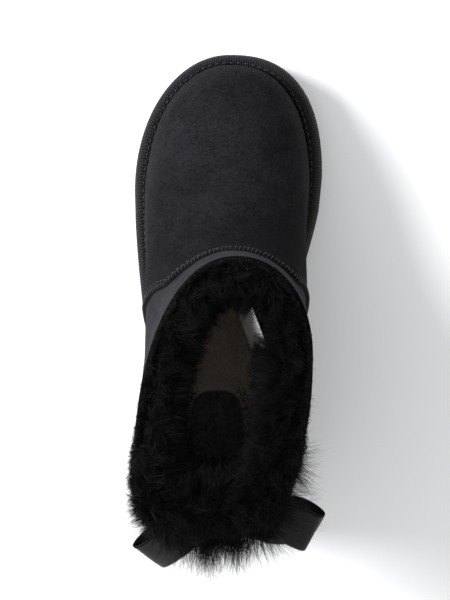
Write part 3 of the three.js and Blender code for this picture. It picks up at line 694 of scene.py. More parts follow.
def onUpper(turn, above, lift):
    # a point on the leather: above the sewn edge by so many millimetres, and lifted off it
    rise = np.clip(seamRise(turn) + above / shaftHeight, 0, 1)
    return upperPoint(turn, rise, upperOut(turn, rise) + lift)


def makeSeamThreads():
    at, long = turnsAlongSeam(seamLook["wrapPitch"])
    step = seamLook["wrapPitch"] / long
    heights = np.array([-1.5, -0.9, -0.3, 0.4, 1.05])
    lean = np.linspace(-0.3, 0.45, 5) * step
    wraps = onUpper(at[:, None] + lean, heights[None, :] * np.ones((len(at), 1)), seamLook["wrapLift"])
    dress(threadPiece("seamOverlock", wraps, seamLook["wrapRadius"]), thread, "woven_tape")
    at, long = turnsAlongSeam(seamLook["rowPitch"])
    side = np.abs(np.minimum(at, 1 - at) - last["sideSeamTurn"]) / seamHalfTurn
    at = at[side > 1.6]
    where = at[:, None] + stitchReach(seamLook["rowStitch"], long)
    row = onUpper(where, np.full(where.shape, -seamLook["rowBelow"]), np.array([-0.15, 0.12, 0.2, 0.12, -0.15]))
    dress(threadPiece("seamTopstitch", row, seamLook["rowRadius"]), thread, "woven_tape")


makeSeamThreads()
print("upper made")

# the binding
bindingLook = {"height": 11.5, "inset": 0.6, "under": 7, "stitchPitch": 4.4, "stitch": 3.1, "radius": 0.42}


def makeBinding():
    profile = np.array([
        [0, 0], [0.2, 0], [0.42, 0], [0.62, 0], [0.74, 0.25], [0.84, 0.75], [0.92, 1.45], [0.97, 2.1], [1.0, 2.8],
    ])
    tall = bindingLook["height"]
    outside = np.array([
        solePoint(turns, -bindingLook["inset"] - inset, lambda f, h=height: soleTop(f) + gap + h * tall)
        for height, inset in profile
    ])
    heights = np.array([1, 0.75, 0.5, 0.25, 0])[:, None]
    inside = upperPoint(turns[None, :], tall * heights / shaftHeight, last["overlay"] + gap)
    inside[..., 2] = soleTop(inside[..., 1] + heelMiddle) + gap + tall * heights
    # between the two, the tape rolls over with a shallow trough where it is sewn down
    across, rise = np.array([[0.2, 0.3], [0.4, 0.35], [0.58, 0.15], [0.72, -0.25], [0.86, -0.1], [0.96, 0]]).T
    top = mix(outside[-1], inside[0], across[:, None, None]) + up * rise[:, None, None]
    rings = np.concatenate([outside, top, inside])
    # the weave's place: along the tape and across it, in millimetres
    across = runAlong(rings[:, 100])
    across = np.append(across, across[-1] + bindingLook["under"])
    along = runAlong(np.concatenate([rings[0], rings[0, :1]]))
    uv = np.stack(np.meshgrid(along, across), axis=-1)
    piece = loftPiece("bindingTape", rings, loop=True, uv=uv)
    dress(piece, tape, "woven_tape", "binding")
    return top[3], along[-1]


def makeBindingStitches(sewn, long):
    count = int(long / bindingLook["stitchPitch"])
    order = np.concatenate([turns - 1, turns, turns + 1])
    path = np.concatenate([sewn, sewn, sewn])
    at = (np.arange(count) + 0.5) / count
    # even steps along the sewn line
    run = runAlong(np.concatenate([sewn, sewn[:1]]))
    at = np.interp(at * run[-1], run, np.append(turns, turns[0] + 1))
    where = at[:, None] + stitchReach(bindingLook["stitch"], run[-1])
    points = np.stack([np.interp(where, order, path[:, k]) for k in range(3)], axis=-1)
    points[..., 2] += np.array([-0.1, 0.4, 0.55, 0.4, -0.1])
    dress(threadPiece("bindingStitches", points, bindingLook["radius"]), thread, "woven_tape")


makeBindingStitches(*makeBinding())
print("binding made")

# the outsole
soleLook = {
    "columns": 300, "sharpAngle": 35, "lugPitch": 15, "lugGap": 5, "lugDepth": 3, "lugSag": 9, "lugReach": 0.56,
    "cutBelow": 2,
}
# the sole's side from its top edge down: share of its height, and how far in. One groove runs round it
soleSide = [
    [1, 6], [1, 0.9], [0.985, 0.45], [0.955, 0.1], [0.92, 0], [0.82, 0], [0.79, 0.15], [0.76, 0.75], [0.74, 1.2],
    [0.64, 1.2], [0.62, 0.75], [0.59, 0.15], [0.56, 0], [0.36, 0], [0.22, 0], [0.12, 0.3], [0.05, 0.9], [0.015, 1.7],
    [0, 2.6],
]


def makeOutsole():
    t = evenTurns(soleLook["columns"])
    rings = [solePoint(t, -inset, lambda f, s=share: mix(soleTread(f), soleTop(f), s)) for share, inset in soleSide]
    body = loftPiece("outsoleMoulded", np.array(rings), sharpAngle=soleLook["sharpAngle"])
    half = soleLook["lugReach"] * last["ballWidth"]
    radius = (half**2 + soleLook["lugSag"] ** 2) / (2 * soleLook["lugSag"])
    reach = np.arcsin(half / radius)
    angle = np.linspace(-reach, reach, 25)
    first = -int(np.floor(heelMiddle / soleLook["lugPitch"])) + 1
    final = int(np.floor((last["length"] - heelMiddle) / soleLook["lugPitch"])) - 1
    for k in range(first, final):
        middle = (k + 0.5) * soleLook["lugPitch"]
        top = float(soleTread(np.array(middle + heelMiddle))) + soleLook["lugDepth"]
        # a channel with slightly sloping walls, so that it leaves the mould
        foot, head, low = 0.5 * soleLook["lugGap"] + 0.5, 0.5 * soleLook["lugGap"] - 0.25, -soleLook["cutBelow"]
        corners = [(foot, low), (head, top), (-head, top), (-foot, low)]
        rings = np.array([
            [[np.sin(a) * (radius + r), middle - radius + np.cos(a) * (radius + r), z] for r, z in corners]
            for a in angle
        ])
        cut = body.modifiers.new(f"channel{k}", "BOOLEAN")
        cut.operation, cut.solver, cut.object = "DIFFERENCE", "EXACT", loftPiece("channel", rings)
    cutters = [cut.object for cut in body.modifiers]
    cutMesh = bpy.data.meshes.new_from_object(body.evaluated_get(bpy.context.evaluated_depsgraph_get()))
    body.modifiers.clear()
    body.data = cutMesh
    cutMesh.shade_smooth()
    cutMesh.set_sharp_from_angle(angle=np.radians(soleLook["sharpAngle"]))
    for cutter in cutters:
        bpy.data.objects.remove(cutter)
    dress(body, foam, "foam_rubber", "outsole")


makeOutsole()
print("outsole made")

# the footbed
bedLook = {
    "thickness": 5, "fibres": 15000, "long": 4.6, "width": 0.42,
    "padEnd": 68, "padMiddle": (-6, 0), "padHalf": (16, 25), "padCorner": 3, "padMargin": 1.5, "rimRadius": 0.55,
}


def bedPoint(turn, inward, lift):
    # a point of the footbed's top: inward from its edge, as a share of the way to the boot's middle line
    edge = upperPoint(turn, 0, -wall - gap - 0.6)
    middle = np.stack([0 * edge[..., 0] + 0.5, np.clip(edge[..., 1], 0, 165), edge[..., 2]], axis=-1)
    point = mix(edge, middle, np.asarray(inward)[..., None])
    point[..., 2] = soleTop(point[..., 1] + heelMiddle) + gap + bedLook["thickness"] + lift
    return point


def makeFootbed():
    t = evenTurns(200)
    side = [upperPoint(t, 0, -wall - gap - inset) for inset in (0, 0, 0.4)]
    for ring, share in zip(side, (0, 0.6, 0.9)):
        ring[:, 2] = soleTop(ring[:, 1] + heelMiddle) + gap + share * bedLook["thickness"]
    top = []
    for inward in (0.02, 0.08, 0.16, 0.26, 0.38, 0.5, 0.64, 0.78, 0.9):
        ring = bedPoint(t, np.full(len(t), inward), 0)
        heelCup = 0.9 * ease(ring[:, 1], 40, 0) * ease(np.full(len(t), inward), 0.2, 0.8)
        ring[:, 2] += 0.35 * softNoise(ring, 9, 21) - heelCup
        top.append(ring)
    piece = loftPiece("footbedFelt", np.array(side + top))
    dress(piece, bedFelt, "wool_pile", "insole")
    count = bedLook["fibres"]
    turn, inward = draws.uniform(0, 1, count), draws.uniform(0, 0.97, count) ** 0.75
    roots = bedPoint(turn, inward, -0.4)
    lean = unit(np.stack([draws.normal(0, 0.7, count), draws.normal(-0.3, 0.7, count), np.full(count, 0.8)], axis=1))
    long = bedLook["long"] * draws.uniform(0.6, 1.2, count)[:, None]
    bend = roots + lean * long * 0.5 + draws.normal(0, 0.35, (count, 3))
    tips = roots + lean * long + draws.normal(0, 0.9, (count, 3))
    tips[:, 2] = np.maximum(tips[:, 2], roots[:, 2] + 0.8)
    paths = np.stack([roots, bend, tips], axis=1)
    inHeel = roots[:, 1] + heelMiddle < bedLook["padEnd"]
    fromPad = (roots[:, :2] - bedLook["padMiddle"]) / (np.array(bedLook["padHalf"]) + bedLook["padMargin"])
    onPad = np.sum(np.abs(fromPad) ** bedLook["padCorner"], axis=1) < 1
    dress(fibrePiece("footbedPile", paths[~inHeel], bedLook["width"], [1, 0.8]), bedWool, "wool_pile")
    dress(fibrePiece("heelPile", paths[inHeel & ~onPad], bedLook["width"], [1, 0.8]), furWool, "wool_pile")


def makeHeelPad():
    # a blank felt pad lies in the heel, with a corded rim
    turn = np.linspace(0, 2 * np.pi, 97)
    shape = np.stack([np.cos(turn), np.sin(turn)], axis=1)
    shape = np.sign(shape) * np.abs(shape) ** (2 / bedLook["padCorner"])

    def ring(height, size):
        flat = np.array(bedLook["padMiddle"]) + shape * np.array(bedLook["padHalf"]) * size
        return np.column_stack([flat, soleTop(flat[:, 1] + heelMiddle) + gap + bedLook["thickness"] + height])

    profile = ((-1.5, 1.0), (0.5, 1.0), (1.0, 0.96), (1.1, 0.88), (0.8, 0.7), (0.65, 0.45), (0.6, 0.2))
    rings = np.array([ring(height, size)[:-1] for height, size in profile])
    dress(loftPiece("heelPad", rings), padFelt, "wool_pile")
    rim = ring(0.9, 1.0)
    lengths = np.stack([rim[:-1], mix(rim[:-1], rim[1:], 0.5), rim[1:]], axis=1)
    dress(threadPiece("heelPadRim", lengths, bedLook["rimRadius"]), padCord, "woven_tape")


makeFootbed()
makeHeelPad()
print("footbed made")

# the fur at the collar
furLook = {
    "pile": 16, "innerPile": 21, "pileTop": 9, "pileDepth": 50,  # how far the wool fills the collar, up and down too
    "frontLip": -1.8, "sideSpill": 1.3, "backSpill": 13, "flapPerSpill": 1.4,  # how far it spills over the cut edge
    "clumps": 2900, "fibresEach": 38, "width": 0.4, "clumpSpread": 2.6, "girth": 330,
    "insideLong": 14.5, "frontLong": 1.8, "sideLong": 2.6, "cornerTuft": 7, "backDip": 6, "tagTurn": 0.868,
    "trimAt": (-62, -85, 64, 174), "trimTo": 0.55,  # left, back, right and top
}
furOutside = [[0.55, 1], [1, 0.6], [1.02, 0.1]]
furInside = [
    [0, 1, 0], [0.45, 0.95, 0], [0.82, 0.5, 0], [1, 0, 0.1], [1.04, 0, 0.35], [1, 0, 0.7], [0.7, 0, 0.95], [0.3, 0, 1],
]


def spillAt(turn):
    t = np.minimum(turn % 1, 1 - turn % 1)
    toSide = mix(furLook["frontLip"], furLook["sideSpill"], ease(t, 0.24, 0.36))
    return mix(toSide, furLook["backSpill"], ease(t, 0.37, 0.45))


def hangAt(turn):
    # 0 along the front of the collar, where the wool is brushed back over the opening, 1 where it hangs outside
    t = np.minimum(turn % 1, 1 - turn % 1)
    return ease(t, 0.25, 0.37)


def pileAt(turn):
    turn = turn % 1
    return mix(furLook["pile"], furLook["innerPile"], ease(turn, 0.52, 0.72) - ease(turn, 0.92, 1))


furTurns, furRows = 480, 72


def furGrid():
    # the fur's outer surface from its hem outside, over the top and down inside: points by row and turn
    t = np.arange(furTurns) / furTurns
    spill, thick = spillAt(t), pileAt(t)
    flap = furLook["flapPerSpill"] * np.maximum(spill, 0.2)
    path = [(gap + 0.15 * spill, flap)]
    path += [(gap + out * spill, drop * flap) for out, drop in furOutside]
    path.append((gap + 0.6 * spill, -0.7 * furLook["pileTop"] + 0 * t))
    path += [(-wall - p * thick, d * furLook["pileDepth"] - r * furLook["pileTop"] + 0 * t) for p, r, d in furInside]
    path = np.array([np.stack(pair) for pair in path])  # corner, out or drop, turn
    along = runAlong(path)
    even = np.linspace(0, 1, furRows)
    out, drop = (
        np.array([np.interp(even * along[-1, k], along[:, k], path[:, axis, k]) for k in range(furTurns)]).T
        for axis in (0, 1)
    )
    for _ in range(2):  # rounds the corners of the section
        out[1:-1] = (out[:-2] + 2 * out[1:-1] + out[2:]) / 4
        drop[1:-1] = (drop[:-2] + 2 * drop[1:-1] + drop[2:]) / 4
    points = collarPoint(t[None, :], out, drop)
    across = np.gradient(points, axis=0)
    around = np.roll(points, -1, axis=1) - np.roll(points, 1, axis=1)
    normals = unit(np.cross(around, across))
    if normals[furRows // 3, :, 2].mean() < 0:
        normals = -normals
    return points, normals, unit(across), out, drop


furSurface, furNormals, furInward, furOut, furDrop = furGrid()
outsideShare = ease(furOut, -wall - 1, gap + 0.5)  # 1 outside the cut edge, 0 inside the collar
topShare = ease(-furDrop, -1, 7)
rimShare = ease(furOut, -13, -2) * ease(-furDrop, -12, -4)  # 1 near the cut edge


def furInset():
    t = (np.arange(furTurns) / furTurns)[None, :]
    return mix(4.2, np.clip(0.5 * spillAt(t), 0.5, 4.5), outsideShare)


def makeFurGround():
    ground = furSurface - furNormals * furInset()[..., None]
    ground = ground + furNormals * (0.5 * softNoise(ground, 5, 31))[..., None] * (furInset() > 1)[..., None]
    t = np.arange(furTurns) / furTurns
    flap = furLook["flapPerSpill"] * np.maximum(spillAt(t), 0.2)
    wallSide = [
        *(collarPoint(t, -wall - 2 * gap, share * furLook["pileDepth"]) for share in np.linspace(0.97, 0.07, 13)),
        collarPoint(t, -wall - gap, -gap),
        collarPoint(t, gap, -gap),
        collarPoint(t, gap, 0.9 * flap),
    ]
    piece = loftPiece("furGround", np.concatenate([ground, np.array(wallSide)]), loop=True)
    return dress(piece, furFelt, "black_fur", "fur_collar")


def readGrid(grid, row, turn):
    # a value of the fur's grid between its points
    t = (turn % 1) * furTurns
    i, k = t.astype(int) % furTurns, np.clip(row.astype(int), 0, furRows - 2)
    a, b = t - np.floor(t), np.clip(row - k, 0, 1)
    if grid.ndim == 3:
        a, b = a[..., None], b[..., None]
    j = (i + 1) % furTurns
    return mix(mix(grid[k, i], grid[k, j], a), mix(grid[k + 1, i], grid[k + 1, j], a), b)


def humpAt(turn, middle, width):
    return np.exp(-(((turn % 1 - middle) / width) ** 2))


def furLengths(turn, row):
    # how long the wool is: short where it lies over the front edge, long where it hangs over the back
    look = furLook
    outside = readGrid(outsideShare, row, turn)
    corner, dip = look["cornerTuft"] * humpAt(turn, 0.418, 0.03), look["backDip"] * humpAt(turn, 0.53, 0.06)
    hanging = mix(look["frontLong"], look["sideLong"] + 0.85 * spillAt(turn) + corner - dip, hangAt(turn))
    # it is clipped short round the tag, which lies free
    inTag = humpAt(turn, look["tagTurn"], 0.035) * ease(readGrid(furDrop, row, turn), -9, -3)
    short = np.maximum(outside, 0.72 * readGrid(rimShare, row, turn) * (1 - hangAt(turn)))
    return mix(look["insideLong"], hanging, short) * (1 - 0.72 * inTag)


def trimmed(paths):
    # hairs that stand out too far are cut shorter
    left, back, right, top = furLook["trimAt"]
    low, high = paths.min(axis=1), paths.max(axis=1)
    over = (low[:, 0] < left) | (low[:, 1] < back) | (high[:, 0] > right) | (high[:, 2] > top)
    paths[over] = mix(paths[over, :1], paths[over], furLook["trimTo"])
    return paths


def makeFur():
    # clumps are sown evenly over the surface
    a = furSurface[1:, :] - furSurface[:-1, :]
    b = (np.roll(furSurface, -1, axis=1) - furSurface)[:-1]
    area = np.linalg.norm(np.cross(a, b), axis=-1)
    cells = draws.choice(area.size, furLook["clumps"], p=(area / area.sum()).ravel())
    row = cells // furTurns + draws.uniform(0, 1, len(cells))
    turn = (cells % furTurns + draws.uniform(0, 1, len(cells))) / furTurns
    normal, inward = readGrid(furNormals, row, turn), readGrid(furInward, row, turn)
    outside, top = readGrid(outsideShare, row, turn), readGrid(topShare, row, turn)
    around = np.cross(normal, inward)
    # the wool hangs towards the hem outside, leans in over the opening on top, and down inside
    brushed = (1 - hangAt(turn)) * readGrid(rimShare, row, turn)
    flow = inward * mix(0.75, -0.75, ease(outside, 0.35, 0.9) * hangAt(turn))[:, None] * mix(1, 0.5, top)[:, None]
    flow = flow * (1 + 2.2 * brushed)[:, None]
    wild = around * draws.normal(0, 0.5, (len(cells), 1)) + inward * draws.normal(0, 0.35, (len(cells), 1))
    wild = wild * (1 - 0.6 * brushed)[:, None]
    stand = (mix(0.8, mix(0.05, 0.42, hangAt(turn)), outside) * (1 - 0.5 * brushed))[:, None]
    direction = unit(normal * stand + flow * 0.62 + wild + draws.normal(0, 0.12, (len(cells), 3)))
    # low down inside, none of it leans into the wall
    wallWay = unit(collarPoint(turn, 1, 30) - collarPoint(turn, 0, 30))
    low = ease(readGrid(furDrop, row, turn), 15, 30) * (1 - outside)
    intoWall = low * np.maximum(np.sum(direction * wallWay, axis=1), 0)
    direction = direction - wallWay * intoWall[:, None]
    long = furLengths(turn, row) * draws.uniform(0.72, 1.22, len(cells))
    # each fibre's root lies round its clump's, and its tip is drawn towards the clump's tip
    each = furLook["fibresEach"]
    shape = (len(cells), each)
    rootTurn = turn[:, None] + draws.normal(0, furLook["clumpSpread"], shape) / furLook["girth"]
    rowStep = np.linalg.norm(a, axis=-1).mean()
    rootRow = np.clip(row[:, None] + draws.normal(0, furLook["clumpSpread"], shape) / rowStep, 0, furRows - 1.001)
    inset = readGrid(furInset(), rootRow, rootTurn)[..., None]
    rootNormal = readGrid(furNormals, rootRow, rootTurn)
    surface = readGrid(furSurface, rootRow, rootTurn)
    roots = surface - rootNormal * (inset + 0.5)
    centre = readGrid(furSurface, row, turn) - normal * readGrid(furInset(), row, turn)[:, None]
    ownLong = (long[:, None] * draws.uniform(0.7, 1.15, shape))[..., None]
    drawn = mix(0.38, 0.7, draws.uniform(0, 1, (len(cells), 1, 1)))
    offset = roots - centre[:, None]
    tips = roots + direction[:, None] * ownLong - offset * drawn + draws.normal(0, 0.75, (*shape, 3))
    bendOut = unit(rootNormal * 0.8 + direction[:, None])
    curl = draws.normal(0, 0.55, (*shape, 3))
    near = roots + bendOut * ownLong * 0.36 + curl * 0.5
    far = mix(roots + bendOut * ownLong * 0.62, tips, 0.55) + curl
    paths = trimmed(np.stack([roots, near, far, tips], axis=2).reshape(-1, 4, 3))
    width = furLook["width"] * draws.uniform(0.7, 1.2, len(paths))
    part = ((np.repeat(turn, each) % 1 + 0.125) * 4).astype(int) % 4
    for k, name in enumerate(("furFront", "furOuterSide", "furBack", "furInnerSide")):
        chosen = part == k
        dress(fibrePiece(name, paths[chosen], width[chosen]), furWool, "black_fur")
        print(name, int(chosen.sum()), "fibres")


# thin long hairs that have come out of the fur: middle and spread by turn, how many and how long
wisps = [
    [0.485, 0.032, 2600, 31], [0.54, 0.032, 1700, 27], [0.42, 0.018, 800, 14], [0.636, 0.014, 520, 19],
    [0.72, 0.03, 70, 8],
]


def makeWisps():
    paths = []
    for middle, spread, count, long in wisps:
        turn, row = draws.normal(middle, spread, count), draws.uniform(4, 14, count)
        normal, inward = readGrid(furNormals, row, turn), readGrid(furInward, row, turn)
        roots = readGrid(furSurface, row, turn) - normal * 2
        # neighbouring hairs share a lean, so that they gather into points
        lean = softNoise(roots, 6, 51)[:, None] * np.cross(normal, inward) * 0.45
        direction = unit(normal * np.array([1, 1, 0.3]) - inward * 0.2 + lean + draws.normal(0, 0.17, (count, 3)))
        own = long * draws.uniform(0.35, 1.1, count)[:, None]
        curl = draws.normal(0, 0.06, (count, 3)) * own
        bend = roots + direction * own * 0.5 + curl
        tips = roots + direction * own - up * own * 0.15 + curl * draws.normal(0, 1, (count, 1))
        paths.append(np.stack([roots, mix(roots, bend, 0.5) + curl * 0.3, bend, tips], axis=1))
    dress(fibrePiece("furWisps", trimmed(np.concatenate(paths)), 0.24), furWool, "black_fur")


makeFurGround()
makeFur()
makeWisps()
print("collar fur made")

# the lining below the collar
liningLook = {"thickness": 4.5, "fibres": 14000, "long": 8, "width": 0.5}


def makeLining():
    t = evenTurns(160)[None, :]
    rise = np.linspace(0.62, 0.015, 26)[:, None]
    face = upperPoint(t, rise, -wall - liningLook["thickness"])
    face = face + upperNormal(t, rise + 0 * t) * (0.5 * softNoise(face, 6, 41))[..., None]
    back = upperPoint(t, rise[::-1], -wall - 0.15)
    piece = loftPiece("liningGround", np.concatenate([face, back]), loop=True)
    dress(piece, furFelt, "black_fur", "upper")
    count = liningLook["fibres"]
    turn, rise = draws.uniform(0, 1, count), draws.uniform(0.03, 0.66, count)
    normal = -upperNormal(turn, rise)
    roots = upperPoint(turn, rise, -wall - liningLook["thickness"] + 0.6)
    lean = unit(normal + draws.normal(0, 0.45, (count, 3)) - up * 0.35)
    long = liningLook["long"] * draws.uniform(0.6, 1.15, count)[:, None]
    bend = roots + unit(normal + lean) * long * 0.5
    paths = np.stack([roots, bend, roots + lean * long], axis=1)
    dress(fibrePiece("liningPile", paths, liningLook["width"], [1, 0.75]), furWool, "black_fur")


makeLining()
print("lining made")

# the ribbon bow
bowLook = {
    "width": 34, "thickness": 0.9, "knotWidth": 15, "knotHeight": 25, "knotDepth": 13, "clearance": 5,
    "loopGap": 9, "hollow": 1.6, "tailLength": 54, "pleats": 3,
}
furHem = collarHeight - furLook["flapPerSpill"] * furLook["backSpill"]
bowHeight = furHem - bowLook["clearance"] - bowLook["knotHeight"] / 2


def riseAtBack(height):
    return (height - last["heelHeight"] - gap) / (collarHeight - last["heelHeight"] - gap)


girthRow = outlines[int(round(riseAtBack(bowHeight) * riseSteps))]
bowGirth = np.linalg.norm(np.diff(girthRow, axis=0), axis=1).sum()


def bowPoint(along, out, above):
    along, out, above = asFloats(along, out, above)
    point = upperPoint(0.5 + along / bowGirth, riseAtBack(bowHeight + above), out)
    point[..., 2] = bowHeight + above
    return point


def curveThrough(points, places):
    # a curve through a few points, each stretch of it timed by its own length
    p = np.concatenate([[2 * points[0] - points[1]], points, [2 * points[-1] - points[-2]]])
    made = []
    for place in np.asarray(places) * (len(points) - 1):
        k = min(int(place), len(points) - 2)
        x0, x1, x2, x3 = p[k : k + 4]
        d0, d1, d2 = (np.linalg.norm(b - a) ** 0.5 for a, b in ((x0, x1), (x1, x2), (x2, x3)))
        t1 = ((x1 - x0) / d0 - (x2 - x0) / (d0 + d1) + (x2 - x1) / d1) * d1
        t2 = ((x2 - x1) / d1 - (x3 - x1) / (d1 + d2) + (x3 - x2) / d2) * d1
        w = place - k
        made.append(x1 + t1 * w + (3 * (x2 - x1) - 2 * t1 - t2) * w**2 + (2 * (x1 - x2) + t1 + t2) * w**3)
    return np.array(made)


def ribbonPiece(name, centres, widths, lift, loop):
    # a ribbon along its centres, with its half width as a vector, and how far each point is lifted off the flat
    before = np.roll(centres, 1, axis=0) if loop else np.concatenate([centres[:1], centres[:-1]])
    after = np.roll(centres, -1, axis=0) if loop else np.concatenate([centres[1:], centres[-1:]])
    normal = unit(np.cross(after - before, widths))
    side = np.linspace(1, -1, lift.shape[1])
    sheet = centres[:, None] + widths[:, None] * side[None, :, None] + normal[:, None] * lift[..., None]
    half = bowLook["thickness"] / 2 * np.where(np.abs(side) > 0.93, 0.75, 1)  # woven edges are thinner
    face = sheet + normal[:, None] * half[None, :, None]
    back = sheet - normal[:, None] * half[None, :, None]
    rings = np.concatenate([face, back[:, ::-1]], axis=1)
    run = runAlong(centres)
    run = np.append(run, run[-1] + np.linalg.norm(centres[0] - centres[-1])) if loop else run
    place = np.concatenate([side, side[::-1], side[:1]]) * bowLook["width"] / 2
    uv = np.stack(np.meshgrid(run, place, indexing="ij"), axis=-1)
    piece = dress(loftPiece(name, rings, loop=loop, uv=uv), satin, "satin")
    print(name, "cut length in mm", round(run[-1], 1))
    return piece


loopRoutes = {
    "inner": ([[0.265, 0.24, 0], [0.58, 0.37, 0.05], [0.855, 0.53, 0.09], [0.94, 0.93, 0.09]], 45, 1),
    "outer": ([[-0.262, 0.24, 0], [-0.48, 0.38, 0.02], [-0.665, 0.63, 0], [-0.79, 1.04, -0.04]], 55, -1),
}


def makeLoop(name, node):
    route, tilt, side = loopRoutes[name]
    tilt = np.radians(tilt)
    corners = np.array([bowPoint(*(np.array(row) * bowLook["width"])) for row in route])
    steps, across = 132, 25
    angle = (np.arange(steps) + 0.5) / steps * 2 * np.pi
    t = (1 - np.cos(angle)) / 2
    centre = curveThrough(corners, t)
    tangent = unit(curveThrough(corners, np.minimum(t + 1e-3, 1)) - curveThrough(corners, np.maximum(t - 1e-3, 0)))
    level = unit(np.cross(up, tangent))
    width = level * np.cos(tilt) * side + up * np.sin(tilt)
    width = unit(width - tangent * np.sum(width * tangent, axis=1, keepdims=True))
    width = width * (bowLook["width"] / 2 * mix(0.45, 1, ease(t, 0, 0.55)))[:, None]
    layer = unit(np.cross(tangent, width)) * (bowLook["loopGap"] / 2 * np.sin(angle) * mix(0.35, 1, t))[:, None]
    across01 = np.linspace(-1, 1, across)[None, :]
    face = np.sign(np.sin(angle))[:, None]
    # gathered in pleats at the knot, which run out into soft waves towards the fold
    gather = (1 - ease(t, 0.02, 0.7))[:, None]
    hollow = bowLook["hollow"] * (1 - t)[:, None] * (1 - across01**2)
    pleats = 0.75 * gather * np.cos(across01 * np.pi * bowLook["pleats"] + 0.6 * side)
    waves = 0.35 * ease(t, 0.2, 0.8)[:, None] * np.sin(across01 * 2.2 + t[:, None] * 5 + side) * face * 0.6
    lift = hollow + pleats + waves
    piece = ribbonPiece("satinLoop" + name.capitalize(), centre + layer, width, lift, True)
    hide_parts(node)


def makeTail(name, node, side):
    rows = columnsOf("along out drop width hollow", [
        [0.17, 0.12, 0, 0.32, 0.05],
        [0.25, 0.15, 0.2, 0.52, 0.045],
        [0.38, 0.19, 0.5, 0.78, 0.03],
        [0.52, 0.21, 0.8, 0.88, 0.04],
        [0.6, 0.22, 1, 0.9, 0.02],
    ])
    steps, across = 60, 21
    drop = np.linspace(0, 1, steps)
    row = readTable(rows, "drop", drop)
    ribbon = bowLook["width"]
    top = -bowLook["knotHeight"] / 2 - gap
    along, height = side * row["along"] * ribbon, top - drop * bowLook["tailLength"]
    centre = bowPoint(along, row["out"] * ribbon, height)
    outward = bowPoint(along, row["out"] * ribbon + 1, height) - centre
    down = unit(np.gradient(centre, axis=0))
    width = unit(np.cross(down, outward)) * (row["width"] * ribbon / 2)[:, None]
    across01 = np.linspace(-1, 1, across)[None, :]
    lift = side * (row["hollow"] * ribbon)[:, None] * (1 - across01**2)
    lift = lift + 0.6 * (1 - ease(drop, 0, 0.5))[:, None] * np.cos(across01 * np.pi * 2)
    lift = lift + 0.5 * ease(drop, 0.2, 0.9)[:, None] * np.sin(across01 * 2.5 + drop[:, None] * 6)
    piece = ribbonPiece("satinTail" + name.capitalize(), centre, width, lift, False)
    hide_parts(node)


def makeKnot():
    heights = np.sin(np.linspace(-0.5, 0.5, 30) * np.pi) / 2
    sizes = columnsOf("height size", [
        [-0.5, 0.5], [-0.44, 0.78], [-0.28, 0.95], [0, 1], [0.28, 0.95], [0.44, 0.78], [0.5, 0.5],
    ])
    size = readTable(sizes, "height", heights)["size"][:, None]
    angle = (np.arange(72) / 72 * 2 * np.pi)[None, :]
    across = np.sign(np.sin(angle)) * np.abs(np.sin(angle)) ** 0.7
    # the ribbon is wound round from top to bottom, so its folds run up and down the knot
    folds = 0.45 * np.cos(across * 8 + 1.5 * heights[:, None]) * np.maximum(np.cos(angle), 0)
    out = gap + bowLook["knotDepth"] * (1 + size * np.cos(angle)) / 2 + folds * size
    out = out - (1 - size) * bowLook["knotDepth"] / 2
    above = heights[:, None] * bowLook["knotHeight"]
    rings = bowPoint(across * size * bowLook["knotWidth"] / 2, np.maximum(out, gap), above)
    run = np.broadcast_arrays(above, np.append(angle, 6.28)[None, :] * 7)  # along the ribbon and across it
    piece = loftPiece("satinKnot", rings, uv=np.stack(run, axis=-1))
    return dress(piece, satin, "satin", "bow_knot")


makeLoop("inner", "bow_loop_inner")
makeLoop("outer", "bow_loop_outer")
makeTail("inner", "bow_tail_inner", 1)
makeTail("outer", "bow_tail_outer", -1)
makeKnot()
print("bow made")

# the tag
tagLook = {
    "width": 24, "length": 34, "columns": 25, "rows": 34, "hem": 2.2, "hemThick": 0.75, "thick": 0.42, "wave": 0.5,
    "stitchInset": 1.6, "stitches": 10, "stitchRadius": 0.2,
}


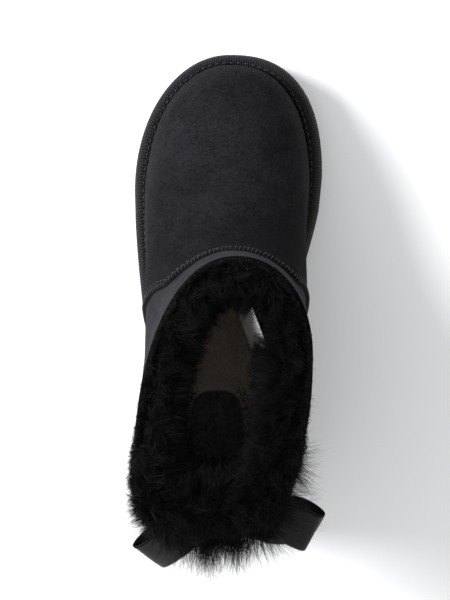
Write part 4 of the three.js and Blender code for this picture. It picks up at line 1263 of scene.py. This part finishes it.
def makeTag():
    # the solid's own corners give the tag's place: the upper edge, the middle and the lower edge
    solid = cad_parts["size_tag"]
    corners = np.array([list(solid.matrix_world @ v.co) for v in solid.data.vertices]) / millimetre
    levels = np.unique(np.round(corners[:, 2], 2))[::-1]
    lines = []
    for z in levels:
        here = corners[np.abs(corners[:, 2] - z) < 0.02]
        low, high = here[here[:, 1] < here[:, 1].mean()], here[here[:, 1] > here[:, 1].mean()]
        lines.append([low.mean(0), high.mean(0)])
    lines = np.array(lines)
    down, across = np.linspace(0, 1, tagLook["rows"]), np.linspace(0, 1, tagLook["columns"])
    knots = np.linspace(0, 1, len(lines))
    edge = [
        np.stack([np.interp(down, knots, lines[:, side, k]) for k in range(3)], axis=1) for side in (0, 1)
    ]
    sheet = mix(edge[0][:, None], edge[1][:, None], across[None, :, None])
    facing = unit(np.cross(edge[1][0] - edge[0][0], up))
    inward = facing if facing[0] < 0 else -facing
    fromHem = np.minimum(down, 1 - down)[:, None] * tagLook["length"] * np.ones((1, len(across)))
    thick = mix(tagLook["hemThick"], tagLook["thick"], ease(fromHem, tagLook["hem"] - 0.3, tagLook["hem"] + 0.3))
    wave = tagLook["wave"] * np.sin(down * 3.1)[:, None] * np.cos(across * 2.6 - 1)[None, :]
    face = sheet + inward * (wave + thick / 2)[..., None]
    back = sheet + inward * (wave - thick / 2)[..., None]
    rings = np.concatenate([face, back[:, ::-1]], axis=1)
    place = np.concatenate([across, across[::-1], across[:1]]) * tagLook["width"]
    uv = np.stack(np.meshgrid(down * tagLook["length"], place, indexing="ij"), axis=-1)
    cloth = dress(loftPiece("tagCloth", rings, uv=uv), label, "pale_cloth", "size_tag")
    rows = []
    share = 0.06 + 0.88 * (np.arange(tagLook["stitches"])[:, None] + np.linspace(0.15, 0.75, 5)) / tagLook["stitches"]
    hemShare = tagLook["stitchInset"] / tagLook["length"]
    for row in (hemShare, 1 - hemShare):
        k = int(row * (len(down) - 1))
        line = mix(edge[0][k], edge[1][k], share[..., None])
        rows.append(line + inward * np.array([0.52, 0.67, 0.72, 0.67, 0.52])[:, None])
    stitches = threadPiece("tagStitches", np.concatenate(rows), tagLook["stitchRadius"])
    dress(stitches, label, "pale_cloth")


makeTag()
print("tag made")

# floor, light and camera
studio = {
    "floor": "f6f7f8", "floorHalf": 6, "sky": 0.85,
    "key": 100, "keySize": 1.1, "keyPlace": (-1.95, 0.75, 1.55), "keyAim": (0, 0.08, 0.05),
    "cameraPlace": (54.3, 71.6, 1620), "cameraAim": (0, 78, 60), "viewHeight": 345, "sensor": 36,
}


def makeStudio():
    floorMesh = bpy.data.meshes.new("floor")
    wide = studio["floorHalf"]
    floorMesh.from_pydata([(-wide, -wide, 0), (wide, -wide, 0), (wide, wide, 0), (-wide, wide, 0)], [], [(0, 1, 2, 3)])
    floor = bpy.data.objects.new("floor", floorMesh)
    bpy.context.scene.collection.objects.link(floor)
    paper, _, shader = newFinish("studioPaper", 0.9, 0.1)
    shader.inputs["Base Color"].default_value = linearColour(studio["floor"])
    floorMesh.materials.append(paper)
    world = bpy.data.worlds.new("studioSky")
    bpy.context.scene.world = world
    world.use_nodes = True
    world.node_tree.nodes["Background"].inputs["Color"].default_value = (1, 1, 1, 1)
    world.node_tree.nodes["Background"].inputs["Strength"].default_value = studio["sky"]
    bpy.context.scene.view_settings.view_transform = "Standard"
    lamp = bpy.data.lights.new("keyLight", "AREA")
    lamp.energy, lamp.shape, lamp.size = studio["key"], "DISK", studio["keySize"]
    holder = bpy.data.objects.new("keyLight", lamp)
    holder.location = studio["keyPlace"]
    holder.rotation_euler = (Vector(studio["keyAim"]) - holder.location).to_track_quat("-Z", "Y").to_euler()
    bpy.context.scene.collection.objects.link(holder)
    lens = bpy.data.cameras.new("camera")
    eye, aim = Vector(studio["cameraPlace"]) * millimetre, Vector(studio["cameraAim"]) * millimetre
    lens.sensor_fit, lens.sensor_height = "VERTICAL", studio["sensor"]
    lens.lens = lens.sensor_height * (eye - aim).length / (studio["viewHeight"] * millimetre)
    lens.clip_end = 50
    camera = bpy.data.objects.new("camera", lens)
    camera.location = eye
    # looks down with the toe at the top of the picture
    back = (eye - aim).normalized()
    right = Vector((0, 1, 0)).cross(back).normalized()
    top = back.cross(right)
    camera.rotation_euler = Matrix((right, top, back)).transposed().to_euler()
    bpy.context.scene.collection.objects.link(camera)
    bpy.context.scene.camera = camera


makeStudio()
print("studio made")
